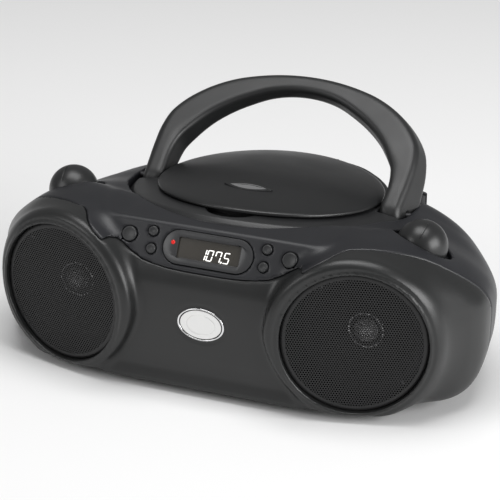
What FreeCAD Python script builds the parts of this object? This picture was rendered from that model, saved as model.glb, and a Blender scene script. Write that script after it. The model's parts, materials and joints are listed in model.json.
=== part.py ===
"""A compact CD boombox: curved two-piece cabinet, top-loading disc drive, folding handle, telescopic aerial.

Frame: +X to the listener's right, +Y to the back, +Z up; millimetres; z = 0 is the surface it stands on.
The disc drive, its lid and the handle are laid out in the deck's own frame: its origin is the disc's centre
at the level of the deck top, its X is the frame's X, and its plane falls by deck_tilt degrees to the back.
"""
import FreeCAD, Part
import Sketcher
import math
import os
from FreeCAD import Matrix, Placement, Rotation, Vector

DOCUMENT = FreeCAD.newDocument("boombox")
SHEET = DOCUMENT.addObject("Spreadsheet::Sheet", "Dims")

DIMENSIONS = [
    # cabinet
    ("wall", 2.4), ("rear_face_y", 104), ("rear_face_half", 80), ("rear_face_low", 19),
    ("rear_face_top", 54), ("floor_gap", 4.5), ("foot_radius", 7), ("seam_gap", 0.2),
    ("section_power", 3.4),
    # speaker pods and grilles
    ("pod_x", 92.3), ("pod_y", -89.5), ("pod_z", 50), ("pod_yaw", 14.4), ("pod_radius", 50),
    ("pod_rim", 4), ("pod_depth", 46), ("grille_radius", 43), ("grille_thick", 1.4),
    ("grille_gap", 0.2), ("seat_width", 3),
    # drivers
    ("baffle_y", -76), ("driver_radius", 38.5), ("driver_hole", 34), ("magnet_radius", 22),
    ("magnet_depth", 15), ("cap_radius", 10.5), ("cone_radius", 28), ("basket_depth", 19),
    ("rim_thick", 2.4), ("speaker_screw_ring", 36.2),
    # control panel
    ("panel_top_y", -77.8), ("panel_top_z", 102.6), ("panel_low_y", -92), ("panel_low_z", 76.8),
    ("big_button", 4.5), ("small_button", 2.9), ("button_proud", 1.1), ("button_stem", 5),
    ("button_travel", 1.2), ("button_gap", 0.3), ("bezel_length", 56), ("bezel_height", 20),
    ("window_length", 39), ("window_height", 12), ("window_shift", 4.5), ("bezel_thick", 2),
    ("board_thick", 1.6), ("led_radius", 1.3),
    # emblem
    ("emblem_z", 47.5), ("emblem_y", -95), ("emblem_half_width", 14.8), ("emblem_half_height", 10.2),
    ("emblem_ring", 1.6), ("emblem_thick", 2),
    # deck frame and deck
    ("deck_y", 15.5), ("deck_z", 96.6), ("deck_tilt", 5), ("deck_half_width", 99),
    ("deck_front", 86.5), ("deck_back", 72), ("deck_centre", 1.5), ("deck_wall", 2.2),
    ("deck_skirt", 34), ("deck_bevel", 3),
    # lid
    ("lid_half_width", 70), ("lid_half_depth", 63.7), ("lid_gap", 0.5), ("lid_edge", 1.4),
    ("lid_dome", 8.9), ("lid_wall", 2), ("hinge_y", 60.9), ("hinge_z", -4.5), ("hinge_pin", 1.5),
    ("knuckle", 2.3), ("badge_length", 30), ("badge_width", 9),
    # disc drive
    ("well_radius", 61.4), ("well_wall", 2), ("well_depth", 14), ("hub_radius", 7.4),
    ("table_radius", 14), ("motor_radius", 10.5), ("rail_x", 17), ("rail_radius", 1.2),
    ("screw_x", 25), ("screw_radius", 1.5), ("sled_rest", 24), ("rail_z", -22.4), ("running", 0.05),
    # handle
    ("pivot_y", 3.2), ("pivot_z", -9.35), ("root_radius", 11.5), ("handle_recline", 42),
    ("handle_inner", 72), ("handle_rise", 89.5), ("apex_depth", 9),
    ("pivot_pin", 2.5), ("slot_gap", 1.0),
    # knobs
    ("knob_x", 112.6), ("knob_y", -32), ("knob_z", 93.4), ("knob_radius", 15.3), ("knob_lean", 14),
    ("knob_gap", 0.6), ("knob_cup", 8), ("knob_shaft", 3),
    # battery bay and back
    ("bay_half", 53), ("bay_front", 20), ("bay_low", 22.5), ("bay_top", 51.5), ("bay_wall", 1.5),
    ("door_gap", 0.5), ("inlet_x", -67), ("back_z", 38), ("jack_x", 67), ("jack_bore", 1.8),
    ("jack_length", 14),
    # aerial
    ("aerial_x", 70), ("aerial_y", 94), ("aerial_z", 67), ("aerial_length", 118), ("tube_radius", 3),
    ("tube_wall", 0.45), ("aerial_pin", 3),
]


def size(alias):
    """The value of one driving dimension."""
    return float(SHEET.get(alias))


def fill_sheet():
    for row, (alias, value) in enumerate(DIMENSIONS, start=1):
        SHEET.set(f"A{row}", alias)
        SHEET.set(f"B{row}", str(value))
        SHEET.setAlias(f"B{row}", alias)
    DOCUMENT.recompute()


fill_sheet()
NODES = {}
SPARE_CELL = "D1"
X, Y, Z = Vector(1, 0, 0), Vector(0, 1, 0), Vector(0, 0, 1)
DECK = Placement(Vector(0, size("deck_y"), size("deck_z")), Rotation(X, -size("deck_tilt")))
SIDES = {"left": -1, "right": 1}


# ---- helpers -------------------------------------------------------------------------------------

def keep(feature, name):
    """Marks a feature as one physical piece of the boombox."""
    feature.Label = name
    NODES[name] = feature
    return feature


def bind(feature, **formulas):
    """Ties properties of a feature to formulas of sheet cells."""
    for name, formula in formulas.items():
        feature.setExpression(name, formula)
    return feature


def along(axis, point):
    """A placement whose local Z points along axis, at point."""
    return Placement(point, Rotation(Z, axis))


def cylinder(name, radius, height, place):
    feature = DOCUMENT.addObject("Part::Cylinder", name)
    bind(feature, Radius=radius, Height=height)
    feature.Placement = place
    return feature


def box(name, length, width, height, corner):
    feature = DOCUMENT.addObject("Part::Box", name)
    bind(feature, Length=length, Width=width, Height=height)
    feature.Placement = corner if isinstance(corner, Placement) else Placement(corner, Rotation())
    return feature


def cut(name, base, *tools):
    """Base less every tool, as one feature."""
    tool = tools[0]
    if len(tools) > 1:
        tool = fuse(name + "_tools", *tools)
    feature = DOCUMENT.addObject("Part::Cut", name)
    feature.Base = base
    feature.Tool = tool
    return feature


def fuse(name, *parts):
    feature = DOCUMENT.addObject("Part::MultiFuse", name)
    feature.Shapes = list(parts)
    return feature


def shaped(name, shape, place=None):
    """A feature whose shape is built here from the sheet's values."""
    feature = DOCUMENT.addObject("Part::Feature", name)
    feature.Shape = shape
    if place is not None:
        feature.Placement = place
    return feature


def turned(name, profile, place):
    """A body turned about its own Z axis; profile lists (radius, height) formulas of its corners."""
    body = DOCUMENT.addObject("PartDesign::Body", name)
    sketch = body.newObject("Sketcher::SketchObject", name + "_sketch")
    plane = [f for f in body.Origin.OriginFeatures if f.Role == "XZ_Plane"][0]
    sketch.AttachmentSupport = (plane, "")
    sketch.MapMode = "FlatFace"
    values = [(evaluate(r), evaluate(h)) for r, h in profile]
    count = len(values)
    for i in range(count):
        start, end = values[i], values[(i + 1) % count]
        sketch.addGeometry(Part.LineSegment(Vector(*start, 0), Vector(*end, 0)), False)
    for i in range(count):
        sketch.addConstraint(Sketcher.Constraint("Coincident", i, 2, (i + 1) % count, 1))
    for i, formulas in enumerate(profile):
        for kind, formula, value in zip(("DistanceX", "DistanceY"), formulas, values[i]):
            index = sketch.addConstraint(Sketcher.Constraint(kind, -1, 1, i, 1, value))
            sketch.setExpression(f"Constraints[{index}]", formula)
    turn = body.newObject("PartDesign::Revolution", name + "_turn")
    turn.Profile = sketch
    turn.ReferenceAxis = (sketch, ["V_Axis"])
    turn.Angle = 360
    body.Placement = place
    return body


def evaluate(formula):
    """The number that a formula of sheet cells gives, worked out in a spare cell."""
    SHEET.set(SPARE_CELL, "=" + formula.replace("Dims.", ""))
    SHEET.recompute()
    return float(SHEET.get(SPARE_CELL))


def smooth_loop(points):
    """A closed smooth curve through points."""
    curve = Part.BSplineCurve()
    curve.interpolate(points, PeriodicFlag=True)
    return Part.Wire(curve.toShape())


def prism(points, direction):
    """A straight-sided solid on a closed polygon."""
    return Part.Face(Part.makePolygon(points + [points[0]])).extrude(direction)


# ---- cabinet -------------------------------------------------------------------------------------

def section(y, half_width, low, top):
    """One upright cross-section of the cabinet: a rounded box outline."""
    count, power = 28, 2 / size("section_power")
    points = []
    for i in range(count):
        turn = 2 * math.pi * (i + 0.5) / count
        c, s = math.cos(turn), math.sin(turn)
        across = half_width * math.copysign(abs(c) ** power, c)
        up = (low + top) / 2 + (top - low) / 2 * math.copysign(abs(s) ** power, s)
        points.append(Vector(across, y, up))
    return smooth_loop(points)


def cabinet_volume(inset):
    """The cabinet as one solid, every wall moved inwards by inset."""
    stations = [
        (-76, 138, 4, 102.6), (-57, 147.6, 3.6, 101), (-39, 153.8, 3.6, 97), (2.5, 147.6, 3.8, 92.5),
        (44, 125, 6, 82), (76, 98, 10, 69), (96, 86, 15, 61),
        (size("rear_face_y"), size("rear_face_half"), size("rear_face_low"), size("rear_face_top")),
    ]
    loops = []
    for i, (y, half, low, top) in enumerate(stations):
        shift = inset if i == 0 else (-inset if i == len(stations) - 1 else 0)
        loops.append(section(y + shift, half - inset, low + inset, top - inset))
    volume = Part.makeLoft(loops, True, False)
    for side in SIDES.values():
        volume = volume.fuse(pod_volume(side, inset))
    volume = volume.fuse(centre_volume(inset))
    below = Part.makeBox(400, 400, 40, Vector(-200, -200, size("floor_gap") + inset - 40))
    return volume.cut(below)


def pod_axis(side):
    """Outward direction of a speaker pod."""
    yaw = math.radians(size("pod_yaw"))
    return Vector(side * math.sin(yaw), -math.cos(yaw), 0)


def pod_centre(side):
    return Vector(side * size("pod_x"), size("pod_y"), size("pod_z"))


def pod_volume(side, inset):
    axis = pod_axis(side)
    length = size("pod_depth") + size("pod_rim") - inset
    base = pod_centre(side) - axis * size("pod_depth")
    radius = size("pod_radius") - inset
    return Part.makeCone(radius, radius - 3, length, base, axis)


def centre_volume(inset):
    """The bowed centre between the pods, with the leaning control panel on top."""
    profile = [
        (size("panel_top_y"), size("panel_top_z")), (size("panel_low_y"), size("panel_low_z")), (-95, 62),
        (size("emblem_y"), 33), (-93.4, 22.3), (-82, 4),
    ]
    half = 66 - inset
    outline = [Vector(-half, y + inset, z - (inset if z > 70 else 0)) for y, z in profile]
    outline += [Vector(-half, -60, 4), Vector(-half, -60, size("panel_top_z") - inset)]
    return prism(outline, Vector(2 * half, 0, 0))


def front_half_space():
    """Everything in front of the seam between the front and rear cabinets, less the control panel's smile."""
    plan = [(-81, -72.7), (-111, -62), (-134, -51), (-155, -33), (-170, -20)]
    outline = [Vector(x, y, -10) for x, y in plan]
    outline += [Vector(-170, -130, -10), Vector(170, -130, -10)]
    outline += [Vector(-x, y, -10) for x, y in reversed(plan)]
    front = prism(outline, Vector(0, 0, 140))
    smile = [(-86, 125), (-81, 102.3), (-70, 90), (-52, 81), (-28, 77.6), (0, 76.8)]
    outline = [Vector(x, -130, z) for x, z in smile]
    outline += [Vector(-x, -130, z) for x, z in reversed(smile[:-1])]
    return front.cut(prism(outline, Vector(0, 80, 0)))


def panel_axis():
    """Outward direction of the control panel."""
    fall = Vector(0, size("panel_low_y") - size("panel_top_y"), size("panel_low_z") - size("panel_top_z"))
    return fall.cross(X).normalize()


def panel_point(x, z):
    """A point on the control panel at a given height."""
    share = (size("panel_top_z") - z) / (size("panel_top_z") - size("panel_low_z"))
    y = size("panel_top_y") + share * (size("panel_low_y") - size("panel_top_y"))
    return Vector(x, y, z)


def panel_place(x, z, lift=0.0):
    """A placement on the control panel: local X to the right, local Z outward."""
    out = panel_axis()
    up = out.cross(X)
    rotation = Rotation(X, up, out, "ZXY")
    return Placement(panel_point(x, z) + out * lift, rotation)


BUTTONS = {
    "left_big": (-50.3, 92.1, "big_button"), "left_upper": (-35.7, 95.5, "small_button"),
    "left_lower": (-35.2, 86.4, "small_button"), "right_big": (50.3, 92.1, "big_button"),
    "right_upper": (35.7, 95.5, "small_button"), "right_lower": (35.2, 86.4, "small_button"),
}
DISPLAY_Z = 89.5
CASE_SCREWS = [(-72, 25), (72, 25)]
FLOOR_SCREWS = [(-100, -25), (100, -25)]


def panel_cuts():
    """Holes for the buttons and the display bezel."""
    tools = []
    for x, z, radius in BUTTONS.values():
        hole = Part.makeCylinder(size(radius) + size("button_gap"), 14)
        hole.Placement = panel_place(x, z, -8)
        tools.append(hole)
    recess = stadium(size("bezel_length") + 0.4, size("bezel_height") + 0.4, 14)
    recess.Placement = panel_place(0, DISPLAY_Z, -8)
    tools.append(recess)
    return tools


def stadium(length, height, depth):
    """A round-ended slab centred on the local origin, rising along local Z."""
    reach, radius = length / 2 - height / 2, height / 2
    slab = Part.makeBox(2 * reach, height, depth, Vector(-reach, -radius, 0))
    for side in (-1, 1):
        slab = slab.fuse(Part.makeCylinder(radius, depth, Vector(side * reach, 0, 0)))
    return slab.removeSplitter()


def ellipse_slab(half_x, half_y, depth):
    """An elliptical slab centred on the local origin, rising along local Z."""
    if half_x >= half_y:
        curve = Part.Ellipse(Vector(0, 0, 0), half_x, half_y)
    else:
        curve = Part.Ellipse(Vector(0, half_y, 0), Vector(half_x, 0, 0), Vector(0, 0, 0))
    return Part.Face(Part.Wire(curve.toShape())).extrude(Vector(0, 0, depth))


def pod_cuts(side):
    """The grille's round opening in one pod."""
    axis = pod_axis(side)
    radius = size("grille_radius") + size("grille_gap")
    return Part.makeCylinder(radius, 14, pod_centre(side) - axis * size("grille_thick"), axis)


def baffle(side, outer):
    """The grille's seat and the flat board that the driver is fixed to."""
    axis = pod_axis(side)
    back = pod_centre(side) - axis * (size("grille_thick") + 2)
    seat = Part.makeCylinder(size("pod_radius"), 2, back, axis)
    seat = seat.cut(Part.makeCylinder(size("grille_radius") - size("seat_width"), 2, back, axis))
    board = Part.makeBox(85, size("wall"), 96, Vector(size("pod_x") - 39.1, size("baffle_y"), 2))
    if side < 0:
        board = board.mirror(Vector(0, 0, 0), X)
    board = board.fuse(seat).common(outer)
    hole_at = Vector(side * size("pod_x"), size("baffle_y") - 12, size("pod_z"))
    board = board.cut(Part.makeCylinder(size("driver_hole"), 14.5, hole_at, Y))
    for spot in driver_screws(side):
        board = board.cut(Part.makeCylinder(1.25, 6, spot + Y * -3, Y))
    return board


def driver_screws(side):
    """Centres of one driver's four screws, on the front face of the baffle board."""
    centre = Vector(side * size("pod_x"), size("baffle_y"), size("pod_z"))
    spots = []
    for i in range(4):
        turn = math.pi / 4 + i * math.pi / 2
        spots.append(centre + Vector(math.cos(turn), 0, math.sin(turn)) * size("speaker_screw_ring"))
    return spots


def knob_axis(side):
    lean = math.radians(size("knob_lean"))
    return Vector(side * math.sin(lean), 0, math.cos(lean))


def knob_centre(side):
    return Vector(side * size("knob_x"), size("knob_y"), size("knob_z"))


def knob_cup(side):
    """The cup under a knob, and the clear space cut for it."""
    axis, centre = knob_axis(side), knob_centre(side)
    inner = size("knob_radius") + size("knob_gap")
    base = centre - axis * size("knob_cup")
    cup = Part.makeCylinder(inner + 1.6, size("knob_cup") - 1, base - axis * 1.6, axis)
    space = Part.makeCylinder(inner, 30, base, axis)
    space = space.fuse(Part.makeCylinder(size("knob_shaft") + 0.5, 6, base - axis * 3, axis))
    return cup, space


def drum(inset, rise=0.0):
    """The deck's egg-shaped outline as a solid in the deck frame, its top rise less inset above the deck."""
    half = size("deck_half_width") - inset
    centre = Vector(0, size("deck_centre"), 0)
    front = Part.Ellipse(centre, half, size("deck_front") - inset)
    back = Part.Ellipse(centre, half, size("deck_back") - inset)
    wire = Part.Wire([back.toShape(0, math.pi), front.toShape(math.pi, 2 * math.pi)])
    depth = size("deck_skirt") + 20
    solid = Part.Face(wire).extrude(Vector(0, 0, depth + rise))
    solid.translate(Vector(0, 0, -depth - inset))
    return solid


def placed(shape, place):
    copy = shape.copy()
    copy.Placement = place.multiply(copy.Placement)
    return copy


def build_cabinets():
    outer = cabinet_volume(0)
    shell = outer.cut(cabinet_volume(size("wall")))
    for side in SIDES.values():
        shell = shell.cut(pod_cuts(side)).fuse(baffle(side, outer))
        cup, space = knob_cup(side)
        shell = shell.fuse(cup.common(outer)).cut(space)
    shell = shell.cut(placed(drum(-size("seam_gap"), 30), DECK))
    shell = shell.fuse(back_bosses(outer))
    shell = shell.cut(Part.makeCompound(panel_cuts() + back_cuts()))
    emblem = ellipse_slab(size("emblem_half_width") + 0.3, size("emblem_half_height") + 0.3, 4)
    emblem.Placement = Placement(Vector(0, size("emblem_y") + 1.2, size("emblem_z")), Rotation(X, 90))
    shell = shell.cut(emblem)
    front_space = front_half_space()
    keep(shaped("front_shell", largest(shell.common(front_space))), "front_cabinet")
    keep(shaped("rear_shell", largest(shell.cut(front_space))), "rear_cabinet")
    return outer


def largest(shape):
    """The biggest solid of a shape."""
    return max(shape.Solids, key=lambda solid: solid.Volume)


def back_bosses(outer):
    """Aerial socket and the bosses that take the case screws."""
    base = Vector(size("aerial_x"), size("aerial_y"), 45)
    boss = Part.makeCylinder(6.2, size("aerial_z") - 5.5 - base.z, base)
    for x, z in CASE_SCREWS:
        boss = boss.fuse(Part.makeCylinder(4, 12, Vector(x, size("rear_face_y") - 13, z), Y))
    for x, y in FLOOR_SCREWS:
        boss = boss.fuse(Part.makeCylinder(4, 12, Vector(x, y, size("floor_gap") + 1)))
    return boss


def back_cuts():
    """Openings in the back: battery door, mains inlet, jack, aerial bore and screw holes."""
    rear = size("rear_face_y")
    gap = size("door_gap")
    half = size("bay_half") + gap
    tools = [Part.makeBox(2 * half, 20, size("bay_top") - size("bay_low") + 2 * gap + 0.6,
                          Vector(-half, rear - 4, size("bay_low") - gap - 0.6))]
    for side in SIDES.values():
        peg_hole = Vector(side * (half + 1) - 2, rear - 1.8, size("bay_low") + 1)
        tools.append(Part.makeCylinder(1.45, 4, peg_hole, X))
    tools.append(Part.makeBox(19, 20, 12.4, Vector(size("inlet_x") - 9.5, rear - 10, size("back_z") - 6.2)))
    tools.append(Part.makeCylinder(4.1, 20, Vector(size("jack_x"), rear - 10, size("back_z")), Y))
    tools.append(Part.makeCylinder(size("aerial_pin") + size("running"), 40,
                                   Vector(size("aerial_x"), size("aerial_y"), 46)))
    for x, z in CASE_SCREWS:
        tools.append(Part.makeCylinder(1.55, 20, Vector(x, rear - 14, z), Y))
        tools.append(Part.makeCylinder(3.3, 5, Vector(x, rear - 1.8, z), Y))
    for x, y in FLOOR_SCREWS:
        tools.append(Part.makeCylinder(1.55, 16, Vector(x, y, 0)))
        tools.append(Part.makeCylinder(3.3, 5, Vector(x, y, size("floor_gap") + 1.8 - 5)))
    return tools


def build_feet(outer):
    spots = [(-84, -52), (84, -52), (-70, 48), (70, 48)]
    feet = [Part.makeCylinder(size("foot_radius"), 16, Vector(x, y, 0)) for x, y in spots]
    keep(shaped("feet_pads", Part.makeCompound([largest(foot.cut(outer)) for foot in feet])), "feet")


def build_screws():
    """Case screws and driver screws, each set one group of equal screws."""
    rear = size("rear_face_y")
    screws = []
    for x, z in CASE_SCREWS:
        head = Part.makeCylinder(3, 1.6, Vector(x, rear - 1.8, z), Y)
        screws.append(head.fuse(Part.makeCylinder(1.5, 11, Vector(x, rear - 12, z), Y)))
    for x, y in FLOOR_SCREWS:
        head = Part.makeCylinder(3, 1.6, Vector(x, y, size("floor_gap") + 0.2))
        screws.append(head.fuse(Part.makeCylinder(1.5, 9, Vector(x, y, size("floor_gap") + 1))))
    keep(shaped("case_screw_set", Part.makeCompound(screws)), "case_screws")
    screws = []
    back = size("wall") + size("rim_thick")
    for side in SIDES.values():
        for spot in driver_screws(side):
            shank = Part.makeCylinder(1.2, back, spot, Y)
            screws.append(shank.fuse(Part.makeCylinder(2.2, 1.4, spot + Y * back, Y)))
    keep(shaped("driver_screw_set", Part.makeCompound(screws)), "speaker_screws")


# ---- speakers ------------------------------------------------------------------------------------

def build_speaker(word, side):
    axis = pod_axis(side)
    back = pod_centre(side) - axis * size("grille_thick")
    grille = cylinder(f"grille_{word}_disc", "Dims.grille_radius", "Dims.grille_thick", along(axis, back))
    keep(grille, f"grille_{word}")
    # the driver looks straight forwards; its own Z axis points to the back, from the baffle board's rear face
    front = Vector(side * size("pod_x"), size("baffle_y") + size("wall"), size("pod_z"))
    place = along(Y, front)
    basket = turned(f"basket_{word}_body", [
        ("Dims.driver_hole - 2", "0"), ("Dims.driver_radius", "0"), ("Dims.driver_radius", "Dims.rim_thick"),
        ("Dims.driver_hole", "Dims.rim_thick"), ("Dims.magnet_radius", "Dims.basket_depth"),
        ("Dims.cap_radius + 1", "Dims.basket_depth"), ("Dims.cap_radius + 1", "Dims.basket_depth - 2"),
        ("Dims.magnet_radius - 2", "Dims.basket_depth - 2"), ("Dims.driver_hole - 2", "Dims.rim_thick"),
    ], place)
    holes = [shaped(f"basket_{word}_hole_{i}", Part.makeCylinder(1.25, 8, spot, Y))
             for i, spot in enumerate(driver_screws(side))]
    keep(cut(f"basket_{word}_cut", basket, *holes), f"speaker_basket_{word}")
    magnet = turned(f"magnet_{word}_body", [
        ("0", "Dims.basket_depth"), ("Dims.magnet_radius", "Dims.basket_depth"),
        ("Dims.magnet_radius", "Dims.basket_depth + Dims.magnet_depth"),
        ("0", "Dims.basket_depth + Dims.magnet_depth"),
    ], place)
    keep(magnet, f"speaker_magnet_{word}")
    cone = turned(f"cone_{word}_body", [
        ("0", "7.2"), ("6", "8.2"), ("Dims.cap_radius - 0.4", "11"), ("Dims.cap_radius - 0.4", "17"),
        ("Dims.cap_radius + 0.2", "17"), ("Dims.cap_radius + 0.2", "11.6"), ("Dims.cone_radius", "1.6"),
        ("Dims.cone_radius + 2", "0.6"), ("Dims.driver_hole - 2.3", "1.6"), ("Dims.driver_hole - 2.3", "1"),
        ("Dims.cone_radius + 2", "-0.2"), ("Dims.cone_radius - 0.4", "0.9"), ("Dims.cap_radius", "10.4"),
        ("6", "7.4"), ("0", "6.4"),
    ], place)
    keep(cone, f"speaker_cone_{word}")


# ---- control panel -------------------------------------------------------------------------------

def build_panel():
    bezel = stadium(size("bezel_length"), size("bezel_height"), size("bezel_thick"))
    length, height = size("window_length"), size("window_height")
    window = Part.makeBox(length, height, 10, Vector(size("window_shift") - length / 2, -height / 2, -2))
    lamp = Part.makeCylinder(size("led_radius") + 0.1, 10, Vector(-22, 0, -2))
    place = panel_place(0, DISPLAY_Z, 0.6 - size("bezel_thick"))
    window_left = size("window_shift") - length / 2
    keep(shaped("bezel_plate", bezel.cut(window.fuse(lamp)), place), "display_bezel")
    glass = box("window_slab", "Dims.window_length - 0.2", "Dims.window_height - 0.2", "1.2",
                place.multiply(Placement(Vector(window_left + 0.1, 0.1 - height / 2, 0.3), Rotation())))
    keep(glass, "display_window")
    module = box("module_slab", "Dims.window_length + 2", "Dims.window_height + 2", "3.5",
                 place.multiply(Placement(Vector(window_left - 1, -height / 2 - 1, -3.8), Rotation())))
    keep(module, "display_module")
    led = cylinder("led_body", "Dims.led_radius", "Dims.bezel_thick + 2.2",
                   place.multiply(Placement(Vector(-22, 0, -2), Rotation())))
    keep(led, "power_light")
    for word, (x, z, radius) in BUTTONS.items():
        cap = cylinder(f"button_{word}_cap", f"Dims.{radius}", "Dims.button_stem + Dims.button_proud",
                       panel_place(x, z, -size("button_stem")))
        keep(cap, f"button_{word}")
    build_control_board()


def build_control_board():
    """The board behind the panel, with one push switch under each button."""
    depth = size("button_stem") + size("button_travel") + 0.2
    place = panel_place(0, DISPLAY_Z, -depth - 2.2 - size("board_thick"))
    board = Part.makeBox(105, 17, size("board_thick"), Vector(-52.5, -7, 0))
    for x, z, _ in BUTTONS.values():
        switch = Part.makeCylinder(2, 2.2)
        switch.Placement = panel_place(x, z, -depth - 2.2)
        switch = placed(switch, place.inverse())
        board = board.fuse(switch)
    keep(shaped("control_board_shape", board, place), "control_board")


def build_emblem():
    place = Placement(Vector(0, size("emblem_y") + 1.2, size("emblem_z")), Rotation(X, 90))
    wide, tall, ring = size("emblem_half_width"), size("emblem_half_height"), size("emblem_ring")
    rim = ellipse_slab(wide, tall, size("emblem_thick")).cut(ellipse_slab(wide - ring, tall - ring, 10))
    keep(shaped("emblem_rim", rim, place), "emblem_ring")
    keep(shaped("emblem_face", ellipse_slab(wide - ring, tall - ring, 1.5), place), "emblem_plate")


# ---- deck, lid and disc drive (deck frame) -------------------------------------------------------

def handle_channel(inset):
    """The space that the folding handle needs in the deck, in the deck frame; inset makes it larger."""
    side = size("handle_inner") - size("slot_gap") - inset
    outer = 88.8 + inset
    start = size("pivot_y") - size("root_radius") - size("slot_gap") - inset
    inner = [(side, 17.5), (64.2, 35), (55.3, 48), (44.2, 58.5), (33.6, 66), (21.5, 72.5), (0, 76.8)]
    half = [Vector(x if i == 0 else x - inset * 0.9, y - (inset if i else 0), 0)
            for i, (x, y) in enumerate(inner)]
    curve = Part.BSplineCurve()
    mirror = [Vector(-p.x, p.y, 0) for p in reversed(half[:-1])]
    curve.interpolate(half[:-1] + [Vector(0, half[-1].y, 0)] + mirror)
    corners = [mirror[-1], Vector(-side, start, 0), Vector(-outer, start, 0), Vector(-outer, 120, 0),
               Vector(outer, 120, 0), Vector(outer, start, 0), Vector(side, start, 0), half[0]]
    edges = [curve.toShape()]
    edges += [Part.makeLine(corners[i], corners[i + 1]) for i in range(len(corners) - 1)]
    floor = size("pivot_z") - size("root_radius") - size("slot_gap") - inset
    region = Part.Face(Part.Wire(edges)).extrude(Vector(0, 0, 60))
    region.translate(Vector(0, 0, floor))
    ramp = math.tan(math.radians(handle_taper()))
    knee = size("pivot_y") + 3
    profile = [(knee, floor - 1), (140, floor - 1), (140, floor + ramp * (140 - knee)), (knee, floor)]
    wedge = prism([Vector(-130, y, z) for y, z in profile], Vector(260, 0, 0))
    return region.cut(wedge)


def handle_taper():
    """Angle between the handle's front and back faces, in degrees."""
    depth = 2 * size("root_radius") - size("apex_depth")
    return math.degrees(math.atan(depth / size("handle_rise")))


def hinge_pocket(inset):
    """The trough behind the disc well that the lid's hinge works in."""
    return Part.makeBox(48 + 2 * inset, 12.5 + inset, 30, Vector(-24 - inset, 56, -9.5 - inset))


def deck_volume(inset):
    volume = drum(inset)
    scoop = Part.makeCylinder(16 + inset, 30, Vector(0, -56, -3.5 - inset))
    return volume.cut(handle_channel(inset)).cut(hinge_pocket(inset)).cut(scoop)


def build_deck():
    wall = size("deck_wall")
    shell = deck_volume(0).cut(deck_volume(wall).fuse(lower_cut()))
    shell = shell.cut(Part.makeCylinder(size("well_radius") + size("well_wall") + 0.2, 60, Vector(0, 0, -50)))
    bracket = Part.makeBox(2, 5, 9, Vector(11.2, 58.6, -11))
    bracket = bracket.fuse(bracket.mirror(Vector(0, 0, 0), X))
    shell = shell.fuse(bracket)
    for x in (-30, 10):
        start = Vector(x, size("hinge_y"), size("hinge_z"))
        shell = shell.cut(Part.makeCylinder(size("hinge_pin"), 20, start, X))
    for side in SIDES.values():
        start = Vector(side * 80 - 14, size("pivot_y"), size("pivot_z"))
        shell = shell.cut(Part.makeCylinder(size("pivot_pin"), 28, start, X))
    shell = bevel_top(shell)
    keep(shaped("deck_shell", largest(shell), DECK), "deck_surround")


def lower_cut():
    """Frees the space under the front of the deck, behind the control panel."""
    low = -size("deck_skirt") - 40
    front = Part.makeBox(260, 80, 60, Vector(-130, -100, -14 - 60))
    below = Part.makeBox(260, 260, 40, Vector(-130, -130, low))
    return front.fuse(below)


def bevel_top(shell):
    """Slopes the top edge of the deck's outline."""
    bevel = size("deck_bevel")
    half, centre = size("deck_half_width"), Vector(0, size("deck_centre"), 0)
    rings = []
    for shift, level in ((1.0, -bevel - 0.5), (-bevel - 0.5, 1.0)):
        front = Part.Ellipse(centre, half + shift, size("deck_front") + shift)
        back = Part.Ellipse(centre, half + shift, size("deck_back") + shift)
        wire = Part.Wire([back.toShape(0, math.pi), front.toShape(math.pi, 2 * math.pi)])
        wire.translate(Vector(0, 0, level))
        rings.append(wire)
    cone = Part.makeLoft(rings, True, True)
    keeper = cone.fuse(Part.makeBox(260, 260, 90, Vector(-130, -130, -bevel - 0.5 - 90)))
    return shell.common(keeper)


def build_lid():
    """The oval domed lid with its two hinge lugs, in the deck frame."""
    radius, gap, wall = size("lid_half_depth"), size("lid_gap"), size("lid_wall")
    edge, top = gap + size("lid_edge"), size("lid_dome")
    middle = edge + (top - edge) * 0.72
    outline = [
        Part.makeLine(Vector(0, 0, top - wall), Vector(0, 0, top)),
        Part.Arc(Vector(0, 0, top), Vector(radius * 0.56, 0, middle), Vector(radius, 0, edge)).toShape(),
        Part.makeLine(Vector(radius, 0, edge), Vector(radius, 0, gap)),
        Part.makeLine(Vector(radius, 0, gap), Vector(radius - wall, 0, gap)),
        Part.Arc(Vector(radius - wall, 0, gap), Vector(radius * 0.54, 0, middle - wall),
                 Vector(0, 0, top - wall)).toShape(),
    ]
    dome = Part.Face(Part.Wire(outline)).revolve(Vector(0, 0, 0), Z, 360)
    stretch = Matrix()
    stretch.scale(size("lid_half_width") / radius, 1, 1)
    lid = dome.transformGeometry(stretch)
    lid = lid.cut(placed(badge_shape(), badge_place()))
    hinge = Vector(0, size("hinge_y"), size("hinge_z"))
    for x in (-21, 15):
        lug = Part.makeCylinder(size("knuckle"), 6, hinge + X * x, X)
        lug = lug.fuse(Part.makeBox(6, 3.2, 6.4, Vector(x, hinge.y - 2.2, hinge.z)))
        bore = Part.makeCylinder(size("hinge_pin") + size("running"), 8, hinge + X * (x - 1), X)
        lid = lid.fuse(lug.cut(bore))
    keep(shaped("lid_shell", largest(lid), DECK), "disc_lid")
    pins = []
    for x in (-25.5, 11.5):
        pins.append(Part.makeCylinder(size("hinge_pin"), 14, hinge + X * x, X))
    keep(shaped("lid_pin_pair", Part.makeCompound(pins), DECK), "lid_hinge_pins")
    keep(shaped("lid_badge_shape", badge_shape(), DECK.multiply(badge_place())), "lid_badge")


def badge_place():
    """Where the lid's lens-shaped badge lies, in the deck frame."""
    return Placement(Vector(0, -38.5, 4.3), Rotation(X, 7))


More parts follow.
